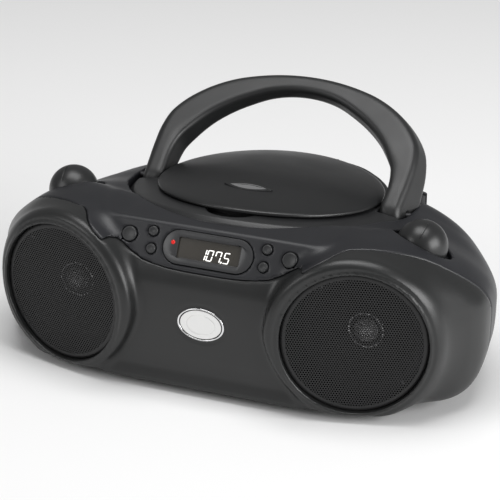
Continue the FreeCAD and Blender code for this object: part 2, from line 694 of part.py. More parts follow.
def badge_shape():
    """A pointed lens outline, as two arcs, made into a thin plate."""
    reach, bulge = size("badge_length") / 2, size("badge_width") / 2
    tips = Vector(-reach, 0, 0), Vector(reach, 0, 0)
    arcs = [Part.Arc(tips[0], Vector(0, bulge, 0), tips[1]).toShape(),
            Part.Arc(tips[1], Vector(0, -bulge, 0), tips[0]).toShape()]
    return Part.Face(Part.Wire(arcs)).extrude(Vector(0, 0, 2.6))


def build_drive():
    radius, wall, depth = size("well_radius"), size("well_wall"), size("well_depth")
    well = Part.makeCylinder(radius + wall, depth + wall - 0.4, Vector(0, 0, -depth - wall))
    well = well.cut(Part.makeCylinder(radius, depth + 4, Vector(0, 0, -depth)))
    well = well.cut(Part.makeCylinder(size("table_radius") + 2, 10, Vector(0, 0, -depth - 5)))
    well = well.cut(Part.makeBox(12, 45.5, 10, Vector(-6, -62.5, -depth - 5)))
    well = well.cut(hinge_pocket(size("deck_wall") + 0.2))
    keep(shaped("well_dish", largest(well), DECK), "disc_well")
    build_mechanism()


def build_mechanism():
    floor = -size("well_depth") - size("well_wall")
    motor = turned("spindle_motor_body", [
        ("1 + Dims.running", "0"), ("Dims.motor_radius", "0"), ("Dims.motor_radius", "14"),
        ("1 + Dims.running", "14"),
    ], DECK.multiply(Placement(Vector(0, 0, floor - 16), Rotation())))
    keep(motor, "spindle_motor")
    hub = turned("hub_body", [
        ("0", "0"), ("1", "0"), ("1", "17"), ("Dims.table_radius", "17"), ("Dims.table_radius", "18.5"),
        ("Dims.hub_radius", "18.5"), ("Dims.hub_radius", "21.5"), ("Dims.hub_radius - 1.5", "23"),
        ("0", "23"),
    ], DECK.multiply(Placement(Vector(0, 0, floor - 13), Rotation())))
    keep(hub, "disc_hub")
    rail_z, rail_x = size("rail_z"), size("rail_x")
    rails = [Part.makeCylinder(size("rail_radius"), 82, Vector(x, -69, rail_z), Y) for x in (-rail_x, rail_x)]
    keep(shaped("rail_pair", Part.makeCompound(rails), DECK), "sled_rails")
    build_sled(floor)
    screw = Part.makeCylinder(size("screw_radius"), 86, Vector(size("screw_x"), -69.5, rail_z), Y)
    keep(shaped("lead_screw_rod", screw, DECK), "lead_screw")
    motor = Part.makeCylinder(5.6, 15, Vector(size("screw_x"), 14.2, rail_z), Y)
    motor = motor.cut(Part.makeCylinder(size("screw_radius") + size("running"), 5,
                                        Vector(size("screw_x"), 14, rail_z), Y))
    keep(shaped("sled_motor_can", motor, DECK), "sled_motor")
    build_chassis(floor)


def build_sled(floor):
    """The optical sled on its two rails, and its lens."""
    rest, rail_z = -size("sled_rest"), size("rail_z")
    top = floor - 0.6
    sled = Part.makeBox(48.5, 15, top - rail_z + 3, Vector(-20, rest - 8, rail_z - 3))
    for x, radius in ((-size("rail_x"), size("rail_radius")), (size("rail_x"), size("rail_radius")),
                      (size("screw_x"), size("screw_radius"))):
        sled = sled.cut(Part.makeCylinder(radius + size("running"), 30, Vector(x, rest - 15, rail_z), Y))
    lens_seat = Part.makeCylinder(4.5, 2.2, Vector(0, rest, top - 0.2))
    keep(shaped("sled_block", sled.fuse(lens_seat), DECK), "pickup_sled")
    lens = Part.makeSphere(3.2, Vector(0, rest, top + 1.0))
    lens = lens.common(Part.makeBox(10, 10, 5, Vector(-5, rest - 5, top + 2.0)))
    keep(shaped("lens_dome", lens, DECK), "pickup_lens")


def build_chassis(floor):
    plate_z = -28.6
    plate = Part.makeBox(74, 84, 1.6, Vector(-37, -70, plate_z))
    for y in (-70, 12):
        plate = plate.fuse(Part.makeBox(74, 2, -17.2 - plate_z, Vector(-37, y, plate_z)))
    for x in (-33, 33):
        for y in (-50, 7):
            plate = plate.fuse(Part.makeCylinder(3, floor - plate_z, Vector(x, y, plate_z)))
    plate = plate.cut(Part.makeCylinder(size("motor_radius") + 0.1, 20, Vector(0, 0, plate_z - 5)))
    for x in (-size("rail_x"), size("rail_x")):
        plate = plate.cut(Part.makeCylinder(size("rail_radius"), 82, Vector(x, -69, size("rail_z")), Y))
    start = Vector(size("screw_x"), -72, size("rail_z"))
    hole = Part.makeCylinder(size("screw_radius") + size("running"), 90, start, Y)
    keep(shaped("chassis_plate", plate.cut(hole), DECK), "drive_chassis")


# ---- handle --------------------------------------------------------------------------------------

def handle_place():
    """The handle's own frame: X across, Y up its front face, Z out of its front face, origin at the pivot."""
    lift = Rotation(X, size("handle_recline"))
    pivot = Vector(0, size("pivot_y"), size("pivot_z"))
    return DECK.multiply(Placement(pivot, lift))


def build_handle():
    """An arched handle that tapers from the pivots to the grip."""
    root, foot = size("root_radius"), 5.6
    inner = [(72, 0), (72, 17.4), (70.2, 27), (66, 34.9), (56.6, 47.8), (45.2, 57.6), (34.6, 64.4),
             (22.6, 70.4), (0, 74.4)]
    outer = [(86.6, 0), (87.2, 18), (86.4, 34), (83, 43), (76, 51), (65, 60.4), (48, 71.4),
             (30, 79), (0, 83.9)]
    front = [arch(points) for points in (inner, outer)]
    ends = []
    for side in SIDES.values():
        ends.append(Part.makeLine(Vector(side * inner[0][0], 0, 0), Vector(side * outer[0][0], 0, 0)))
    face = Part.Face(Part.Wire(Part.sortEdges([front[0], front[1]] + ends)[0]))
    body = face.extrude(Vector(0, 0, -2 * root))
    body.translate(Vector(0, 0, root))
    ramp = math.tan(math.radians(handle_taper()))
    profile = [(-foot, -root - 1), (140, -root - 1), (140, -root + ramp * 140), (0, -root)]
    wedge = prism([Vector(-120, y, z) for y, z in profile], Vector(240, 0, 0))
    body = body.cut(wedge)
    for side in SIDES.values():
        start = inner[0][0] if side > 0 else -outer[0][0]
        body = body.fuse(Part.makeCylinder(root, outer[0][0] - inner[0][0], Vector(start, 0, 0), X))
        bore = Part.makeCylinder(size("pivot_pin") + size("running"), 30, Vector(side * 79 - 15, 0, 0), X)
        body = body.cut(bore)
    keep(shaped("handle_arch", largest(body), handle_place()), "carry_handle")
    pins = []
    for side in SIDES.values():
        start = Vector(side * 80 - 11.6, size("pivot_y"), size("pivot_z"))
        pins.append(Part.makeCylinder(size("pivot_pin"), 23.2, start, X))
    keep(shaped("handle_pin_pair", Part.makeCompound(pins), DECK), "handle_pins")


def arch(points):
    """A smooth arch through (half width, height) points and their mirror image."""
    curve = Part.BSplineCurve()
    right = [Vector(x, y, 0) for x, y in points]
    curve.interpolate(right + [Vector(-p.x, p.y, 0) for p in reversed(right[:-1])])
    return curve.toShape()


# ---- knobs ---------------------------------------------------------------------------------------

def build_knob(word, part_word, side):
    axis, centre = knob_axis(side), knob_centre(side)
    radius = size("knob_radius")
    dome = Part.makeSphere(radius, centre, axis, 0, 90, 360)
    skirt = Part.makeCylinder(radius, size("knob_cup") - 4, centre - axis * (size("knob_cup") - 4), axis)
    shaft = Part.makeCylinder(size("knob_shaft"), 14, centre - axis * 16, axis)
    rib = Part.makeBox(1.6, 8, 8, Vector(-0.8, -11, radius - 5))
    rib = placed(rib.common(Part.makeSphere(radius + 0.6)), along(axis, centre))
    knob = dome.fuse(skirt).fuse(shaft).fuse(rib).removeSplitter()
    keep(shaped(f"{word}_dome", largest(knob)), f"{word}_knob")
    base = centre - axis * 19
    block = Part.makeBox(18, 16, 7.2, Vector(-9, -8, 0))
    block = placed(block, along(axis, base))
    bore = Part.makeCylinder(size("knob_shaft") + size("running"), 20, centre - axis * 16.2, axis)
    keep(shaped(f"{part_word}_block", block.cut(bore)), part_word)


# ---- power, boards and sockets -------------------------------------------------------------------

def build_power():
    rear, wall, half = size("rear_face_y"), size("bay_wall"), size("bay_half")
    low, top, front = size("bay_low"), size("bay_top"), size("bay_front")
    end = rear - 4.2
    tray = Part.makeBox(2 * half + 2 * wall, end - front + wall, top - low + 2 * wall,
                        Vector(-half - wall, front - wall, low - wall))
    tray = tray.cut(Part.makeBox(2 * half, end - front + 5, top - low, Vector(-half, front, low)))
    keep(shaped("battery_tray_shell", tray), "battery_bay")
    contacts = []
    for i in range(3):
        row = Vector(0, front + 13.5 + 26.3 * i, (low + top) / 2)
        contacts.append(Part.makeCone(6, 3, 2.6, row + X * -half, X))
        contacts.append(Part.makeBox(0.8, 14, 14, row + Vector(half - 0.8, -7, -7)))
    keep(shaped("contact_set", Part.makeCompound(contacts)), "battery_contacts")
    build_door(rear, half, low, top)
    keep(box("transformer_core", "38", "36", "34", Vector(-96, 4, 15)), "transformer")
    keep(box("main_board_slab", "100", "Dims.board_thick", "56", Vector(-50, -59, 13)), "main_board")
    keep(cylinder("ferrite_core", "4", "90", along(X, Vector(-45, 64, 60))), "ferrite_aerial")
    build_inlet(rear)
    jack = turned("jack_body", [
        ("Dims.jack_bore", "0"), ("5.5", "0"), ("5.5", "Dims.jack_length - 2.5"),
        ("4", "Dims.jack_length - 2.5"), ("4", "Dims.jack_length"), ("Dims.jack_bore", "Dims.jack_length"),
    ], along(Y, Vector(size("jack_x"), rear - size("jack_length"), size("back_z"))))
    keep(jack, "audio_jack")


def build_door(rear, half, low, top):
    """The battery door: a slab with two hinge pegs at its lower corners and a finger rib at its top."""
    slab = Part.makeBox(2 * half, 2.4, top - low, Vector(-half, rear - 2.8, low))
    corner = Part.makeBox(2 * half, 3, 1, Vector(-half, rear - 3, low))
    hinge = Vector(0, rear - 1.8, low + 1)
    slab = slab.cut(corner).fuse(Part.makeCylinder(1.0, 2 * half, hinge + X * -half, X))
    for side in SIDES.values():
        slab = slab.fuse(Part.makeCylinder(1.4, 4, hinge + X * (side * half - 2), X))
    rib = Part.makeBox(22, 0.9, 2, Vector(-11, rear - 0.5, top - 5))
    keep(shaped("door_slab", largest(slab.fuse(rib).removeSplitter())), "battery_door")


def build_inlet(rear):
    """The mains inlet: a block with a round-ended socket and two pins."""
    centre = Vector(size("inlet_x"), rear, size("back_z"))
    block = Part.makeBox(18.6, 13, 12, centre + Vector(-9.3, -13, -6))
    socket = stadium(15.4, 8.6, 10)
    socket.Placement = Placement(centre, Rotation(X, 90))
    block = block.cut(socket)
    for side in SIDES.values():
        block = block.fuse(Part.makeCylinder(1.2, 10, centre + Vector(side * 4, -11.5, 0), Y))
    keep(shaped("inlet_block", block), "mains_inlet")


# ---- aerial --------------------------------------------------------------------------------------

def build_aerial():
    """A swivelling base and a three-stage telescopic rod lying across the back, tip to the left."""
    x, y, z = size("aerial_x"), size("aerial_y"), size("aerial_z")
    radius, wall, length = size("tube_radius"), size("tube_wall"), size("aerial_length")
    gap = size("running")
    pin = Part.makeCylinder(size("aerial_pin"), 14, Vector(x, y, z - 19))
    head = Part.makeCylinder(5, 9.6, Vector(x, y, z - 5.2))
    slot = Part.makeBox(14, 3.2, 12, Vector(x - 7, y - 1.6, z - 4))
    axle = Part.makeCylinder(1, 9, Vector(x, y - 4.5, z), Y)
    keep(shaped("aerial_swivel", pin.fuse(head).cut(slot).fuse(axle)), "aerial_base")
    tongue = Part.makeBox(9, 2.8, 5, Vector(x - 9, y - 1.4, z - 2.5))
    tongue = tongue.fuse(Part.makeCylinder(2.5, 2.8, Vector(x, y - 1.4, z), Y))
    tongue = tongue.cut(Part.makeCylinder(1 + gap, 6, Vector(x, y - 3, z), Y))
    start = Vector(x - 7, y, z)
    outer_tube = Part.makeCylinder(radius, length, start, X * -1)
    outer_tube = outer_tube.cut(Part.makeCylinder(radius - wall, length, start + X * -4, X * -1))
    keep(shaped("aerial_lower", outer_tube.fuse(tongue)), "aerial_lower_tube")
    second = radius - wall - gap
    mid_tube = Part.makeCylinder(second, length - 3, start + X * -5, X * -1)
    mid_tube = mid_tube.cut(Part.makeCylinder(second - wall, length, start + X * -8, X * -1))
    keep(shaped("aerial_mid", mid_tube), "aerial_middle_tube")
    third = second - wall - gap
    tip = Part.makeCylinder(third, length - 3, start + X * -9, X * -1)
    tip = tip.fuse(Part.makeCylinder(radius, 4, start + X * -(length + 3), X * -1))
    keep(shaped("aerial_rod_tip", tip), "aerial_tip")


# ---- build and write -----------------------------------------------------------------------------

def check_document():
    """Stops on any feature that failed and on any piece that isn't a valid solid."""
    DOCUMENT.recompute()
    for feature in DOCUMENT.Objects:
        if "Invalid" in feature.State or "Error" in feature.State:
            raise RuntimeError(f"{feature.Label} failed: {feature.State}")
    for name, feature in NODES.items():
        shape = feature.Shape
        if shape.isNull() or not shape.isValid() or not shape.Solids:
            raise RuntimeError(f"{name} has no valid solid")


def write_parts():
    os.makedirs("parts", exist_ok=True)
    for name, feature in NODES.items():
        feature.Shape.exportStep(f"parts/{name}.step")
        bounds = feature.Shape.BoundBox
        print(f"{name}: {bounds.XLength:.1f} x {bounds.YLength:.1f} x {bounds.ZLength:.1f}")


outer_volume = build_cabinets()
build_feet(outer_volume)
build_screws()
for side_word, side_sign in SIDES.items():
    build_speaker(side_word, side_sign)
build_panel()
build_emblem()
build_deck()
build_lid()
build_drive()
build_handle()
build_knob("function", "function_switch", -1)
build_knob("volume", "volume_control", 1)
build_power()
build_aerial()
check_document()
write_parts()
print(len(NODES), "pieces")
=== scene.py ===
"""Looks of the boombox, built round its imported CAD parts.

Shapes are worked out in millimetres and stored in metres.
"""
import json
import math

import bpy
import numpy as np
from mathutils import Matrix, Vector


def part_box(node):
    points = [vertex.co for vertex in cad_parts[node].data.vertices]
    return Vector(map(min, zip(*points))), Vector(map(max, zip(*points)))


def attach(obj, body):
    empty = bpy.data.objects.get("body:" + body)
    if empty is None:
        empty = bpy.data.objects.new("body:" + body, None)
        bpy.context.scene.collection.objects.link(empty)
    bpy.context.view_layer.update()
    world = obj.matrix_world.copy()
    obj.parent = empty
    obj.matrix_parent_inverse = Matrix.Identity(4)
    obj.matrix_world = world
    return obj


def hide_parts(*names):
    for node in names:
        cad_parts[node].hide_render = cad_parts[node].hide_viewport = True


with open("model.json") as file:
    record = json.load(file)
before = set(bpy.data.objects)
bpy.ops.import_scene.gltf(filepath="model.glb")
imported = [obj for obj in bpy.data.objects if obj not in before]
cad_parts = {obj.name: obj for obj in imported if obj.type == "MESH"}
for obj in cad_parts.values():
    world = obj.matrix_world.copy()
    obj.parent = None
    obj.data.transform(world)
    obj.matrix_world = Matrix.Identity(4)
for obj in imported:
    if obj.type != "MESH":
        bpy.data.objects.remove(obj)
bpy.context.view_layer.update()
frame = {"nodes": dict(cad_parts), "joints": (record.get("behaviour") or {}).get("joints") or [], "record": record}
RECORD = frame["record"]
JOINTS = {joint["name"]: joint for joint in frame["joints"]}
STEP = 1.15  # cell size that the cabinet is meshed with
FINE_STEP = STEP * 0.87  # the same for the deck and the handle
SCENE = bpy.context.scene
MM = 1000  # millimetres in a metre


# ---- fields: each takes x, y, z arrays in millimetres and is below 0 inside the shape ----

def join(a, b, k):
    """Union of two fields with a fillet of about k."""
    h = np.maximum(k - np.abs(a - b), 0) / k
    return np.minimum(a, b) - h * h * k / 4


def both(a, b, k):
    """Intersection of two fields, its edge rounded over about k."""
    return -join(-a, -b, k)


def less(a, b, k):
    """The first field without the second, its edge rounded over about k."""
    return both(a, -b, k)


def curve(knots):
    """A smooth function through (position, value) knots, straight beyond its ends."""
    at, value = (np.array(column, np.float32) for column in zip(*knots))
    slope = np.gradient(value, at)

    def read(t):
        inside = np.clip(t, at[0], at[-1])
        i = np.clip(np.searchsorted(at, inside) - 1, 0, len(at) - 2)
        h = at[i + 1] - at[i]
        s = (inside - at[i]) / h
        low = value[i] * (1 + 2 * s) * (1 - s) ** 2 + slope[i] * h * s * (1 - s) ** 2
        high = value[i + 1] * s * s * (3 - 2 * s) + slope[i + 1] * h * s * s * (s - 1)
        return low + high + slope[0] * np.minimum(t - at[0], 0) + slope[-1] * np.maximum(t - at[-1], 0)

    return read


def fall_of(function, t):
    """Cosine that turns a height above a sloping line into a distance from it."""
    slope = function(t + 0.5) - function(t - 0.5)
    return 1 / np.sqrt(1 + slope * slope)


def smooth_path(points, per_span=14):
    """Points along a smooth open line through the given ones."""
    points = np.array(points, float)
    along = np.concatenate([[0], np.cumsum(np.linalg.norm(np.diff(points, axis=0), axis=1))])
    spans = len(points) - 1
    fine = np.interp(np.linspace(0, spans, per_span * spans + 1), range(spans + 1), along)
    return np.stack([curve(list(zip(along, points[:, i])))(fine) for i in range(points.shape[1])], axis=1)


def outline_field(px, py, outline):
    """Signed distance in a plane to a closed outline."""
    shape = np.broadcast(px, py).shape
    px, py = (np.broadcast_to(p, shape).ravel().astype(np.float32) for p in (px, py))
    best = np.full(px.shape, 1e9, np.float32)
    inside = np.zeros(px.shape, bool)
    for (ax, ay), (bx, by) in zip(outline, np.roll(outline, -1, axis=0)):
        dx, dy = bx - ax, by - ay
        t = np.clip(((px - ax) * dx + (py - ay) * dy) / max(dx * dx + dy * dy, 1e-9), 0, 1)
        best = np.minimum(best, (px - ax - t * dx) ** 2 + (py - ay - t * dy) ** 2)
        if ay != by:
            crosses = ((ay > py) != (by > py)) & (px < (py - ay) * dx / dy + ax)
            inside ^= crosses
    return (np.sqrt(best) * np.where(inside, -1, 1)).reshape(shape)


def oval(x, y, half_x, half_y):
    """Near-exact distance to an ellipse about the origin."""
    level = np.sqrt((x / half_x) ** 2 + (y / half_y) ** 2) + 1e-6
    slope = np.sqrt((x / half_x**2) ** 2 + (y / half_y**2) ** 2) / level + 1e-6
    return (level - 1) / slope


def pill(x, y, length, height):
    """Distance to a round-ended bar about the origin."""
    reach = (length - height) / 2
    return np.hypot(np.maximum(np.abs(x) - reach, 0), y) - height / 2


def slab(x, y, half_x, half_y, corner):
    """Distance to a rectangle with round corners about the origin."""
    a, b = np.abs(x) - half_x + corner, np.abs(y) - half_y + corner
    return np.hypot(np.maximum(a, 0), np.maximum(b, 0)) + np.minimum(np.maximum(a, b), 0) - corner


# ---- meshes ----

CORNERS = np.array([[(i >> 2) & 1, (i >> 1) & 1, i & 1] for i in range(8)])
EDGES = [(a, b) for a in range(8) for b in range(a + 1, 8) if abs(CORNERS[a] - CORNERS[b]).sum() == 1]


def net(values, low, step):
    """Points and quads of a smooth mesh on the zero level of a grid of values."""
    inside = values < 0
    nx, ny, nz = values.shape
    part = [inside[i:nx - 1 + i, j:ny - 1 + j, k:nz - 1 + k] for i, j, k in CORNERS]
    count = sum(p.astype(np.int8) for p in part)
    cells = np.argwhere((count > 0) & (count < 8))
    number = np.full(count.shape, -1, np.int32)
    number[tuple(cells.T)] = np.arange(len(cells))
    corner = np.stack([values[tuple((cells + c).T)] for c in CORNERS], axis=1)
    total = np.zeros((len(cells), 3))
    crossings = np.zeros(len(cells))
    for a, b in EDGES:
        va, vb = corner[:, a], corner[:, b]
        hit = (va < 0) != (vb < 0)
        t = np.where(hit, va / np.where(hit, va - vb, 1), 0)
        total += np.where(hit[:, None], CORNERS[a] + t[:, None] * (CORNERS[b] - CORNERS[a]), 0)
        crossings += hit
    points = np.array(low) + step * (cells + total / crossings[:, None])
    quads = []
    for axis in range(3):
        b, c = (axis + 1) % 3, (axis + 2) % 3
        before = np.moveaxis(inside, axis, 0)[:-1]
        after = np.moveaxis(inside, axis, 0)[1:]
        at = np.argwhere(np.moveaxis(before != after, 0, axis))
        above = (at[:, b] > 0) & (at[:, c] > 0)
        under = (at[:, b] < inside.shape[b] - 1) & (at[:, c] < inside.shape[c] - 1)
        at = at[above & under]
        step_b, step_c = np.eye(3, dtype=int)[b], np.eye(3, dtype=int)[c]
        ring = [number[tuple(p.T)] for p in (at - step_b - step_c, at - step_c, at, at - step_b)]
        face = np.stack(ring, axis=1)
        outward = inside[tuple(at.T)]
        quads.append(np.where(outward[:, None], face, face[:, ::-1]))
    return points, np.concatenate(quads)


def settle(field, points, reach):
    """Moves points onto the zero level of a field, by at most reach."""
    start, tiny, least_slope = points.copy(), 0.12, 0.2
    for _ in range(3):
        value = field(*points.T)
        slope = np.stack([(field(*(points + tiny * e).T) - field(*(points - tiny * e).T)) / (2 * tiny)
                          for e in np.eye(3)], axis=1)
        size = np.maximum((slope**2).sum(axis=1), least_slope)
        points = points - slope * (value / size)[:, None]
        shift = points - start
        length = np.linalg.norm(shift, axis=1, keepdims=True)
        points = start + shift * np.minimum(1, reach / np.maximum(length, 1e-6))
    return points


def shell_mesh(field, low, high, step=STEP):
    """Points and faces of a field's surface within a box."""
    axes = [np.arange(a, b + step, step, dtype=np.float32) for a, b in zip(low, high)]
    values = field(axes[0][:, None, None], axes[1][None, :, None], axes[2][None, None, :])
    points, quads = net(values, low, step)
    return settle(field, points, step * 0.7), quads


def piece(name, body, slot, mesh, replaces=(), place=None, sharp=None, paint=None):
    """A mesh object from points and faces in its own frame; place maps it to the row frame.

    Its finish is the one named like its slot, unless paint names another.
    """
    points, faces = mesh
    if place is not None:
        matrix = np.array(place, float)
        points = np.asarray(points, float) @ matrix[:3, :3].T + matrix[:3, 3]
    data = bpy.data.meshes.new(name)
    data.from_pydata((np.asarray(points) * 0.001).tolist(), [], [list(map(int, f)) for f in faces])
    data.validate()
    data.shade_smooth()
    if sharp is not None:
        data.set_sharp_from_angle(angle=math.radians(sharp))
    data.materials.append(PAINT[paint or slot])
    made = bpy.data.objects.new(name, data)
    SCENE.collection.objects.link(made)
    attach(made, body)
    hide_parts(*replaces)
    return made


def lathe(profile, count=72, stretch=(1, 1)):
    """Points and faces of a closed (radius, height) profile turned about Z; a radius of 0 is a pole."""
    points, rings = [], []
    for radius, height in profile:
        if radius == 0:
            rings.append([len(points)] * count)
            points.append((0, 0, height))
        else:
            rings.append(list(range(len(points), len(points) + count)))
            for i in range(count):
                turn = 2 * math.pi * i / count
                x, y = radius * math.cos(turn) * stretch[0], radius * math.sin(turn) * stretch[1]
                points.append((x, y, height))
    faces = []
    for lower, upper in zip(rings, rings[1:] + rings[:1]):
        for i in range(count):
            face = [lower[i], lower[(i + 1) % count], upper[(i + 1) % count], upper[i]]
            face = list(dict.fromkeys(face))
            if len(face) > 2:
                faces.append(face)
    return np.array(points), faces


def rounded(profile, radius=0.4, steps=3):
    """A closed (radius, height) profile with its corners that lie off the axis rounded."""
    made, count = [], len(profile)
    for i, (r, h) in enumerate(profile):
        here, before, after = (np.array(profile[j % count], float) for j in (i, i - 1, i + 1))
        if r == 0:
            made.append((0, h))
            continue
        reach = min(radius, np.linalg.norm(before - here) / 2.2, np.linalg.norm(after - here) / 2.2)
        a = here + (before - here) / np.linalg.norm(before - here) * reach
        b = here + (after - here) / np.linalg.norm(after - here) * reach
        for k in range(steps + 1):
            t = k / steps
            made.append(tuple((1 - t) ** 2 * a + 2 * t * (1 - t) * here + t * t * b))
    return made


def arc(centre, radii, turns):
    """Points of an elliptical arc; a negative radius mirrors it."""
    return [(centre[0] + radii[0] * math.cos(t), centre[1] + radii[1] * math.sin(t)) for t in turns]


def side_normals(loop):
    """Unit normals of a closed loop's points, to the right of its direction."""
    step = np.roll(loop, -1, axis=0) - np.roll(loop, 1, axis=0)
    normal = np.stack([step[:, 1], -step[:, 0]], axis=1)
    return normal / np.maximum(np.linalg.norm(normal, axis=1, keepdims=True), 1e-9)


def twice_area(loop):
    """Twice the area of a closed loop, above 0 when it runs anticlockwise."""
    ahead = np.roll(loop, -1, axis=0)
    return (loop[:, 0] * ahead[:, 1] - ahead[:, 0] * loop[:, 1]).sum()


def bands(levels, count, closed=False):
    """Quads between stacked rings of count points; closed joins the last ring to the first."""
    faces = []
    for level in range(levels if closed else levels - 1):
        low, high = level * count, (level + 1) % levels * count
        for i in range(count):
            j = (i + 1) % count
            faces.append([low + i, low + j, high + j, high + i])
    return faces


def extruded(outline, low, high, edge=0.0):
    """Points and faces of a prism on a closed outline, its top edge chamfered by edge."""
    outline = np.array(outline, float)
    area = twice_area(outline)
    inward = side_normals(outline) * (-1 if area > 0 else 1)
    rings = [(outline, low), (outline, high - edge)]
    if edge:
        rings += [(outline + inward * edge * 0.3, high - edge * 0.3), (outline + inward * edge, high)]
    points = np.concatenate([np.column_stack([ring, np.full(len(ring), z)]) for ring, z in rings])
    count = len(outline)
    faces = bands(len(rings), count)
    top = (len(rings) - 1) * count
    faces += [list(range(count))[::-1], list(range(top, top + count))]
    if area < 0:
        faces = [face[::-1] for face in faces]
    return points, faces


def merged(*meshes):
    """Several (points, faces) pairs as one."""
    points, faces, start = [], [], 0
    for some, more in meshes:
        points.append(np.asarray(some, float))
        faces += [[start + int(i) for i in face] for face in more]
        start += len(some)
    return np.concatenate(points), faces


# ---- materials ----

def material(name, colour, rough, metal=0.0, grain=420.0, bump=0.05, mottle=0.12, specular=0.5,
             coat=0.0, glow=None):
    """A moulded or metal surface: its colour and roughness vary a little, over a fine bump."""
    made = bpy.data.materials.new(name)
    made.use_nodes = True
    nodes, links = made.node_tree.nodes, made.node_tree.links
    shader = nodes["Principled BSDF"]
    where = nodes.new("ShaderNodeTexCoord")
    cloud = nodes.new("ShaderNodeTexNoise")
    cloud.inputs["Scale"].default_value = 38
    cloud.inputs["Detail"].default_value = 4
    links.new(where.outputs["Object"], cloud.inputs["Vector"])
    ramp = nodes.new("ShaderNodeMapRange")
    limits = {"From Min": 0.3, "From Max": 0.7, "To Min": rough * 0.9, "To Max": min(1, rough * 1.12)}
    for socket, value in limits.items():
        ramp.inputs[socket].default_value = value
    links.new(cloud.outputs["Fac"], ramp.inputs["Value"])
    links.new(ramp.outputs["Result"], shader.inputs["Roughness"])
    tint = nodes.new("ShaderNodeMix")
    tint.data_type = "RGBA"
    links.new(cloud.outputs["Fac"], tint.inputs["Factor"])
    tint.inputs["A"].default_value = (*[c * (1 - mottle) for c in colour], 1)
    tint.inputs["B"].default_value = (*[c * (1 + mottle) for c in colour], 1)
    links.new(tint.outputs["Result"], shader.inputs["Base Color"])
    fine = nodes.new("ShaderNodeTexNoise")
    fine.inputs["Scale"].default_value = grain * 10
    fine.inputs["Detail"].default_value = 2
    links.new(where.outputs["Object"], fine.inputs["Vector"])
    relief = nodes.new("ShaderNodeBump")
    relief.inputs["Strength"].default_value = bump
    relief.inputs["Distance"].default_value = 0.0002
    links.new(fine.outputs["Fac"], relief.inputs["Height"])
    links.new(relief.outputs["Normal"], shader.inputs["Normal"])
    shader.inputs["Metallic"].default_value = metal
    shader.inputs["Specular IOR Level"].default_value = specular
    shader.inputs["Coat Weight"].default_value = coat
    if glow:
        shader.inputs["Emission Color"].default_value = (*glow[:3], 1)
        shader.inputs["Emission Strength"].default_value = glow[3]
    return made


SHADES = {
    "front_plastic": dict(colour=(0.0135, 0.014, 0.0141), rough=0.34, bump=0.06),
    "rear_plastic": dict(colour=(0.0112, 0.0117, 0.0142), rough=0.4, bump=0.08),
    "deck_plastic": dict(colour=(0.015, 0.0154, 0.0162), rough=0.38, bump=0.07),
    "lid_plastic": dict(colour=(0.0105, 0.0109, 0.0114), rough=0.34),
    "handle_plastic": dict(colour=(0.0145, 0.0149, 0.0153), rough=0.4, bump=0.08),
    "knob_plastic": dict(colour=(0.015, 0.0154, 0.0158), rough=0.34),
    "key_plastic": dict(colour=(0.024, 0.0246, 0.0255), rough=0.38),
    "bezel_plastic": dict(colour=(0.034, 0.0345, 0.036), rough=0.3, bump=0.03),
    "window_plastic": dict(colour=(0.02, 0.018, 0.014), rough=0.08, bump=0.0),
    "display_face": dict(colour=(0.03, 0.026, 0.02), rough=0.3, bump=0.02),
    "red_lamp": dict(colour=(0.45, 0.004, 0.004), rough=0.22, bump=0.02, glow=(1.0, 0.02, 0.01, 0.3)),
    "grille_metal": dict(colour=(0.014, 0.014, 0.0145), rough=0.4, specular=0.4),
    "basket_metal": dict(colour=(0.05, 0.05, 0.052), rough=0.5, metal=0.7),
    "magnet": dict(colour=(0.03, 0.03, 0.032), rough=0.6, bump=0.2),
    "cone_paper": dict(colour=(0.012, 0.012, 0.012), rough=0.8, grain=160, bump=0.35),
    "chrome_trim": dict(colour=(0.8, 0.8, 0.81), rough=0.1, metal=1.0, bump=0.01, mottle=0.03),
    "foot_rubber": dict(colour=(0.014, 0.014, 0.014), rough=0.75, grain=200, bump=0.25),
    "screw_steel": dict(colour=(0.32, 0.32, 0.33), rough=0.32, metal=1.0, bump=0.1),
    "pin_steel": dict(colour=(0.05, 0.05, 0.052), rough=0.45, metal=1.0),
    "motor_steel": dict(colour=(0.4, 0.4, 0.41), rough=0.35, metal=1.0, bump=0.08),
    "board": dict(colour=(0.015, 0.07, 0.025), rough=0.5, grain=90, bump=0.2, mottle=0.3),
    "well_plastic": dict(colour=(0.018, 0.018, 0.019), rough=0.45, bump=0.12),
    "switch_plastic": dict(colour=(0.025, 0.025, 0.027), rough=0.5, bump=0.1),
    "contact_metal": dict(colour=(0.55, 0.53, 0.48), rough=0.3, metal=1.0, bump=0.08),
    "core_iron": dict(colour=(0.1, 0.1, 0.11), rough=0.55, metal=0.7, grain=80, bump=0.4),
    "ferrite": dict(colour=(0.04, 0.038, 0.036), rough=0.7, grain=150, bump=0.3),
    "sled_plastic": dict(colour=(0.03, 0.03, 0.032), rough=0.5, bump=0.12),
    "lens_glass": dict(colour=(0.1, 0.07, 0.16), rough=0.05, coat=1.0, bump=0.0),
    "aerial_chrome": dict(colour=(0.72, 0.72, 0.73), rough=0.14, metal=1.0, bump=0.02, mottle=0.04),
    # painted highlight: the driver dome's pale colour stands in for the highlight on it
    "pale_dome_painted_highlight": dict(colour=(0.85, 0.85, 0.86), rough=0.45, metal=0.4, bump=0.04),
    "digit_light": dict(colour=(0.8, 0.8, 0.78), rough=0.5, glow=(1.0, 0.97, 0.92, 0.9), mottle=0.02),
    # painted reflection: the emblem plate's near-white colour stands in for what its polished metal reflects
    "pale_plate_painted_reflection": dict(colour=(0.88, 0.88, 0.87), rough=0.3, metal=0.25, bump=0.02, mottle=0.03),
}
PAINT = {name: material(name, **how) for name, how in SHADES.items()}
FINISH = {"aerial_base": "switch_plastic"}  # nodes whose finish isn't their slot's


